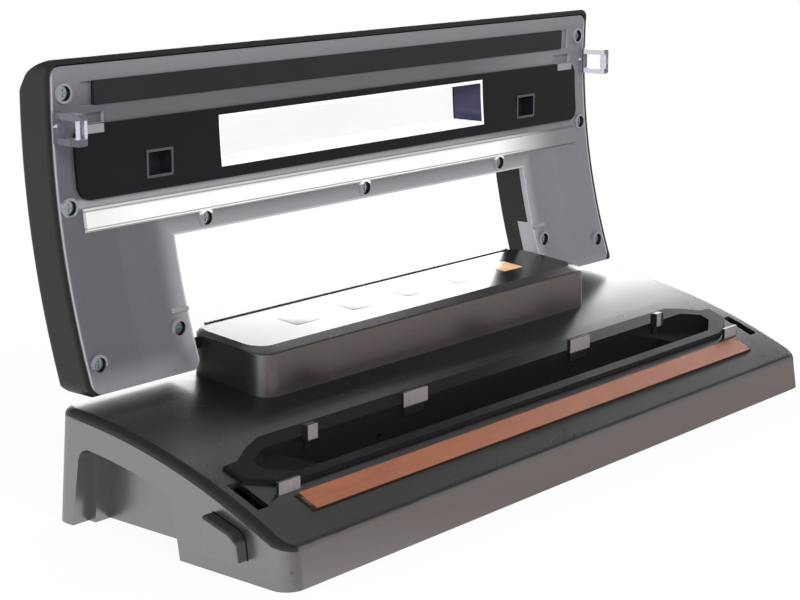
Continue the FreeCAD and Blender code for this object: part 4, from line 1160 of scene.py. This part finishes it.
@dataclass
class LatchSprings:
    """Coil springs behind the release buttons."""

    finishes: Finishes
    fixed_x: float = 156.0 * MM
    moving_x: float = 165.8 * MM
    travel: float = 2.5 * MM
    middle_y: float = -32.0 * MM
    middle_z: float = 13.5 * MM
    coil_r: float = 2.6 * MM
    wire_r: float = 0.4 * MM
    turns: int = 5
    steps: int = 24
    sides: int = 10
    smooth_angle: float = 60.0

    def coil(self, side: int, name: str) -> bpy.types.Object:
        """Wind one spring.

        Args:
            side: -1 left, 1 right.
            name: the piece's name.

        Returns:
            The spring.
        """
        shape = bmesh.new()
        start = Vector((side * (self.fixed_x + self.wire_r), self.middle_y, self.middle_z + self.coil_r))
        made = bmesh.ops.create_circle(shape, cap_ends=False, segments=self.sides, radius=self.wire_r)
        ring = made["verts"]
        upright = Matrix.Rotation(math.radians(90.0), 3, "X")
        bmesh.ops.rotate(shape, verts=ring, cent=(0, 0, 0), matrix=upright)
        bmesh.ops.translate(shape, verts=ring, vec=start)
        count = self.turns * self.steps
        length = self.moving_x - self.fixed_x - 2 * self.wire_r
        bmesh.ops.spin(
            shape, geom=list(shape.edges), cent=(0.0, self.middle_y, self.middle_z), axis=(1.0, 0.0, 0.0),
            dvec=(side * length / count, 0.0, 0.0), angle=self.turns * math.tau, steps=count, use_merge=False,
        )
        ends = [edge for edge in shape.edges if edge.is_boundary]
        bmesh.ops.holes_fill(shape, edges=ends, sides=self.sides)
        bmesh.ops.recalc_face_normals(shape, faces=shape.faces)
        return add_piece(name, shape, self.smooth_angle)

    def build(self) -> None:
        """Make both springs."""
        for side, word in ((-1, "left"), (1, "right")):
            piece = self.coil(side, "coil_" + word)
            self.finishes.dress(piece, "drawn_steel")
            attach(piece, Body.BASE.value)
            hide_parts("latch_spring_" + word)
            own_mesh(piece)
            LOG.info("spring %s", word)


@dataclass
class SoftBox:
    """Soft lamp that shines from its place towards the object."""

    name: str
    place: tuple[float, float, float]
    size: tuple[float, float]
    radiance: float
    aim: tuple[float, float, float] = (0.0, 0.0, 0.08)
    mirrored: bool = True

    def build(self) -> None:
        """Put the lamp in the scene."""
        lamp = bpy.data.lights.new(self.name, "AREA")
        lamp.shape = "RECTANGLE"
        lamp.size, lamp.size_y = self.size
        lamp.energy = self.radiance * self.size[0] * self.size[1] * math.pi
        holder = bpy.data.objects.new(self.name, lamp)
        holder.location = self.place
        way = Vector(self.aim) - Vector(self.place)
        holder.rotation_euler = way.to_track_quat("-Z", "Y").to_euler()
        holder.visible_camera = False
        holder.visible_transmission = False
        holder.visible_glossy = self.mirrored
        bpy.context.scene.collection.objects.link(holder)


@dataclass
class Studio:
    """Pale floor, soft light and the camera."""

    floor_half: float = 4.0
    ambient: float = 0.55
    ceiling: float = 0.03
    upper: float = 0.18
    shady_side: float = 0.5
    ceiling_from: tuple[float, float] = (0.34, 0.52)
    upper_from: tuple[float, float] = (0.52, 0.66)
    shady_way: tuple[float, float] = (0.76, -0.65)
    shady_sky: tuple[float, float] = (0.2, 0.85)
    shady_floor: tuple[float, float] = (-0.16, 0.03)
    far_floor: tuple[float, float] = (0.15, 0.4)
    floor_white: float = 0.92
    floor_mirror: float = 0.9
    floor_matt: Colour = (0.9, 0.9, 0.9)
    floor_shade: Colour = (0.57, 0.44, 0.435)
    camera_place: tuple[float, float, float] = (-0.64271, -0.50158, 0.249)
    camera_yaw: float = 49.839
    camera_pitch: float = -12.669
    lens: float = 86.13
    sensor: float = 36.0
    clip_start: float = 0.01

    def shade_side(self, recipe: Recipe, x: Wire, y: Wire, span: tuple[float, float]) -> Wire:
        """How far a place lies towards the shady side, from 0 to 1.

        Args:
            recipe: the tree that asks.
            x: its first coordinate.
            y: its second coordinate.
            span: where the shade starts and where it is full.

        Returns:
            The share of shade.
        """
        along, across = self.shady_way
        return recipe.ease(along * x + across * y, *span)

    def build_world(self) -> None:
        """White all round for the eye, a darker ceiling for what the object reflects."""
        world = bpy.data.worlds.new("studio")
        bpy.context.scene.world = world
        world.use_nodes = True
        recipe = Recipe(world.node_tree)
        seen, glossy = recipe.rays()
        x, y, z = recipe.axes(output="Generated")
        sky = 1 - (1 - self.ceiling) * recipe.ease(z, *self.ceiling_from)
        sky = sky + self.upper * recipe.ease(z, *self.upper_from)
        sky = sky * (1 - (1 - self.shady_side) * self.shade_side(recipe, x, y, self.shady_sky))
        light = seen + (1 - seen) * (glossy * sky + (1 - glossy) * self.ambient)
        back = recipe.wire("ShaderNodeBackground", {}, {"Color": (1.0, 1.0, 1.0, 1.0), "Strength": light})
        recipe.node("ShaderNodeOutputWorld", {}, {"Surface": back})

    def build_floor(self) -> None:
        """Pale floor that keeps the object's shadow."""
        shape = bmesh.new()
        bmesh.ops.create_grid(shape, x_segments=4, y_segments=4, size=self.floor_half)
        floor = add_piece("floor", shape)
        material, recipe = new_recipe("pale_floor")
        seen, glossy = recipe.rays()
        glossy = glossy * (1 - seen)
        x, y, _ = recipe.axes()
        far = recipe.ease((x * x + y * y) ** 0.5, *self.far_floor)
        shady = self.shade_side(recipe, x, y, self.shady_floor)
        matt = recipe.wire("ShaderNodeBsdfDiffuse", {}, {"Color": (*self.floor_matt, 1.0)})
        tint = recipe.mix(glossy * shady, (1.0, 1.0, 1.0), self.floor_shade)
        white = recipe.wire("ShaderNodeEmission", {}, {"Color": tint, "Strength": 1.0})
        shown = seen * (self.floor_white + (1 - self.floor_white) * far) | (self.floor_mirror * glossy)
        recipe.end(recipe.blend(shown, matt, white))
        floor.data.materials.append(material)

    def build_lamps(self) -> None:
        """Soft boxes round the object."""
        for lamp in (
            SoftBox("back_box", (1.5, 1.35, 0.42), (2.6, 0.8), 5.8),
            SoftBox("right_box", (1.5, -1.25, 0.6), (1.2, 0.7), 3.6, mirrored=False),
            SoftBox("left_box", (-1.6, 0.35, 0.85), (1.2, 1.0), 2.4, mirrored=False),
            SoftBox("front_box", (-0.9, -1.6, 1.3), (1.2, 1.0), 8.5, mirrored=False),
        ):
            lamp.build()

    def build_camera(self) -> None:
        """Camera at the viewing angle."""
        data = bpy.data.cameras.new("view")
        data.sensor_fit = "HORIZONTAL"
        data.sensor_width = self.sensor
        data.lens = self.lens
        data.clip_start = self.clip_start
        camera = bpy.data.objects.new("view", data)
        camera.location = self.camera_place
        camera.rotation_euler = (math.radians(90.0 + self.camera_pitch), 0.0, -math.radians(self.camera_yaw))
        bpy.context.scene.collection.objects.link(camera)
        bpy.context.scene.camera = camera

    def build(self) -> None:
        """Set up the whole studio."""
        bpy.context.scene.view_settings.view_transform = "Standard"
        self.build_camera()
        self.build_world()
        self.build_floor()
        self.build_lamps()


def main() -> None:
    """Build the object's looks and the studio in order."""
    logging.basicConfig(level=logging.INFO)
    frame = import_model()
    Studio().build()
    finishes = Finishes()
    finishes.make_all()
    finishes.dress_nodes(frame["nodes"])
    LidCover(finishes).build(frame["nodes"]["lid_cover"])
    WindowLiner(finishes).build(frame["nodes"]["viewing_window"])
    SoftSeals(finishes).build(frame["nodes"])
    PadCaps(finishes).build(frame["nodes"])
    LatchSprings(finishes).build()


if __name__ == "__main__":
    main()
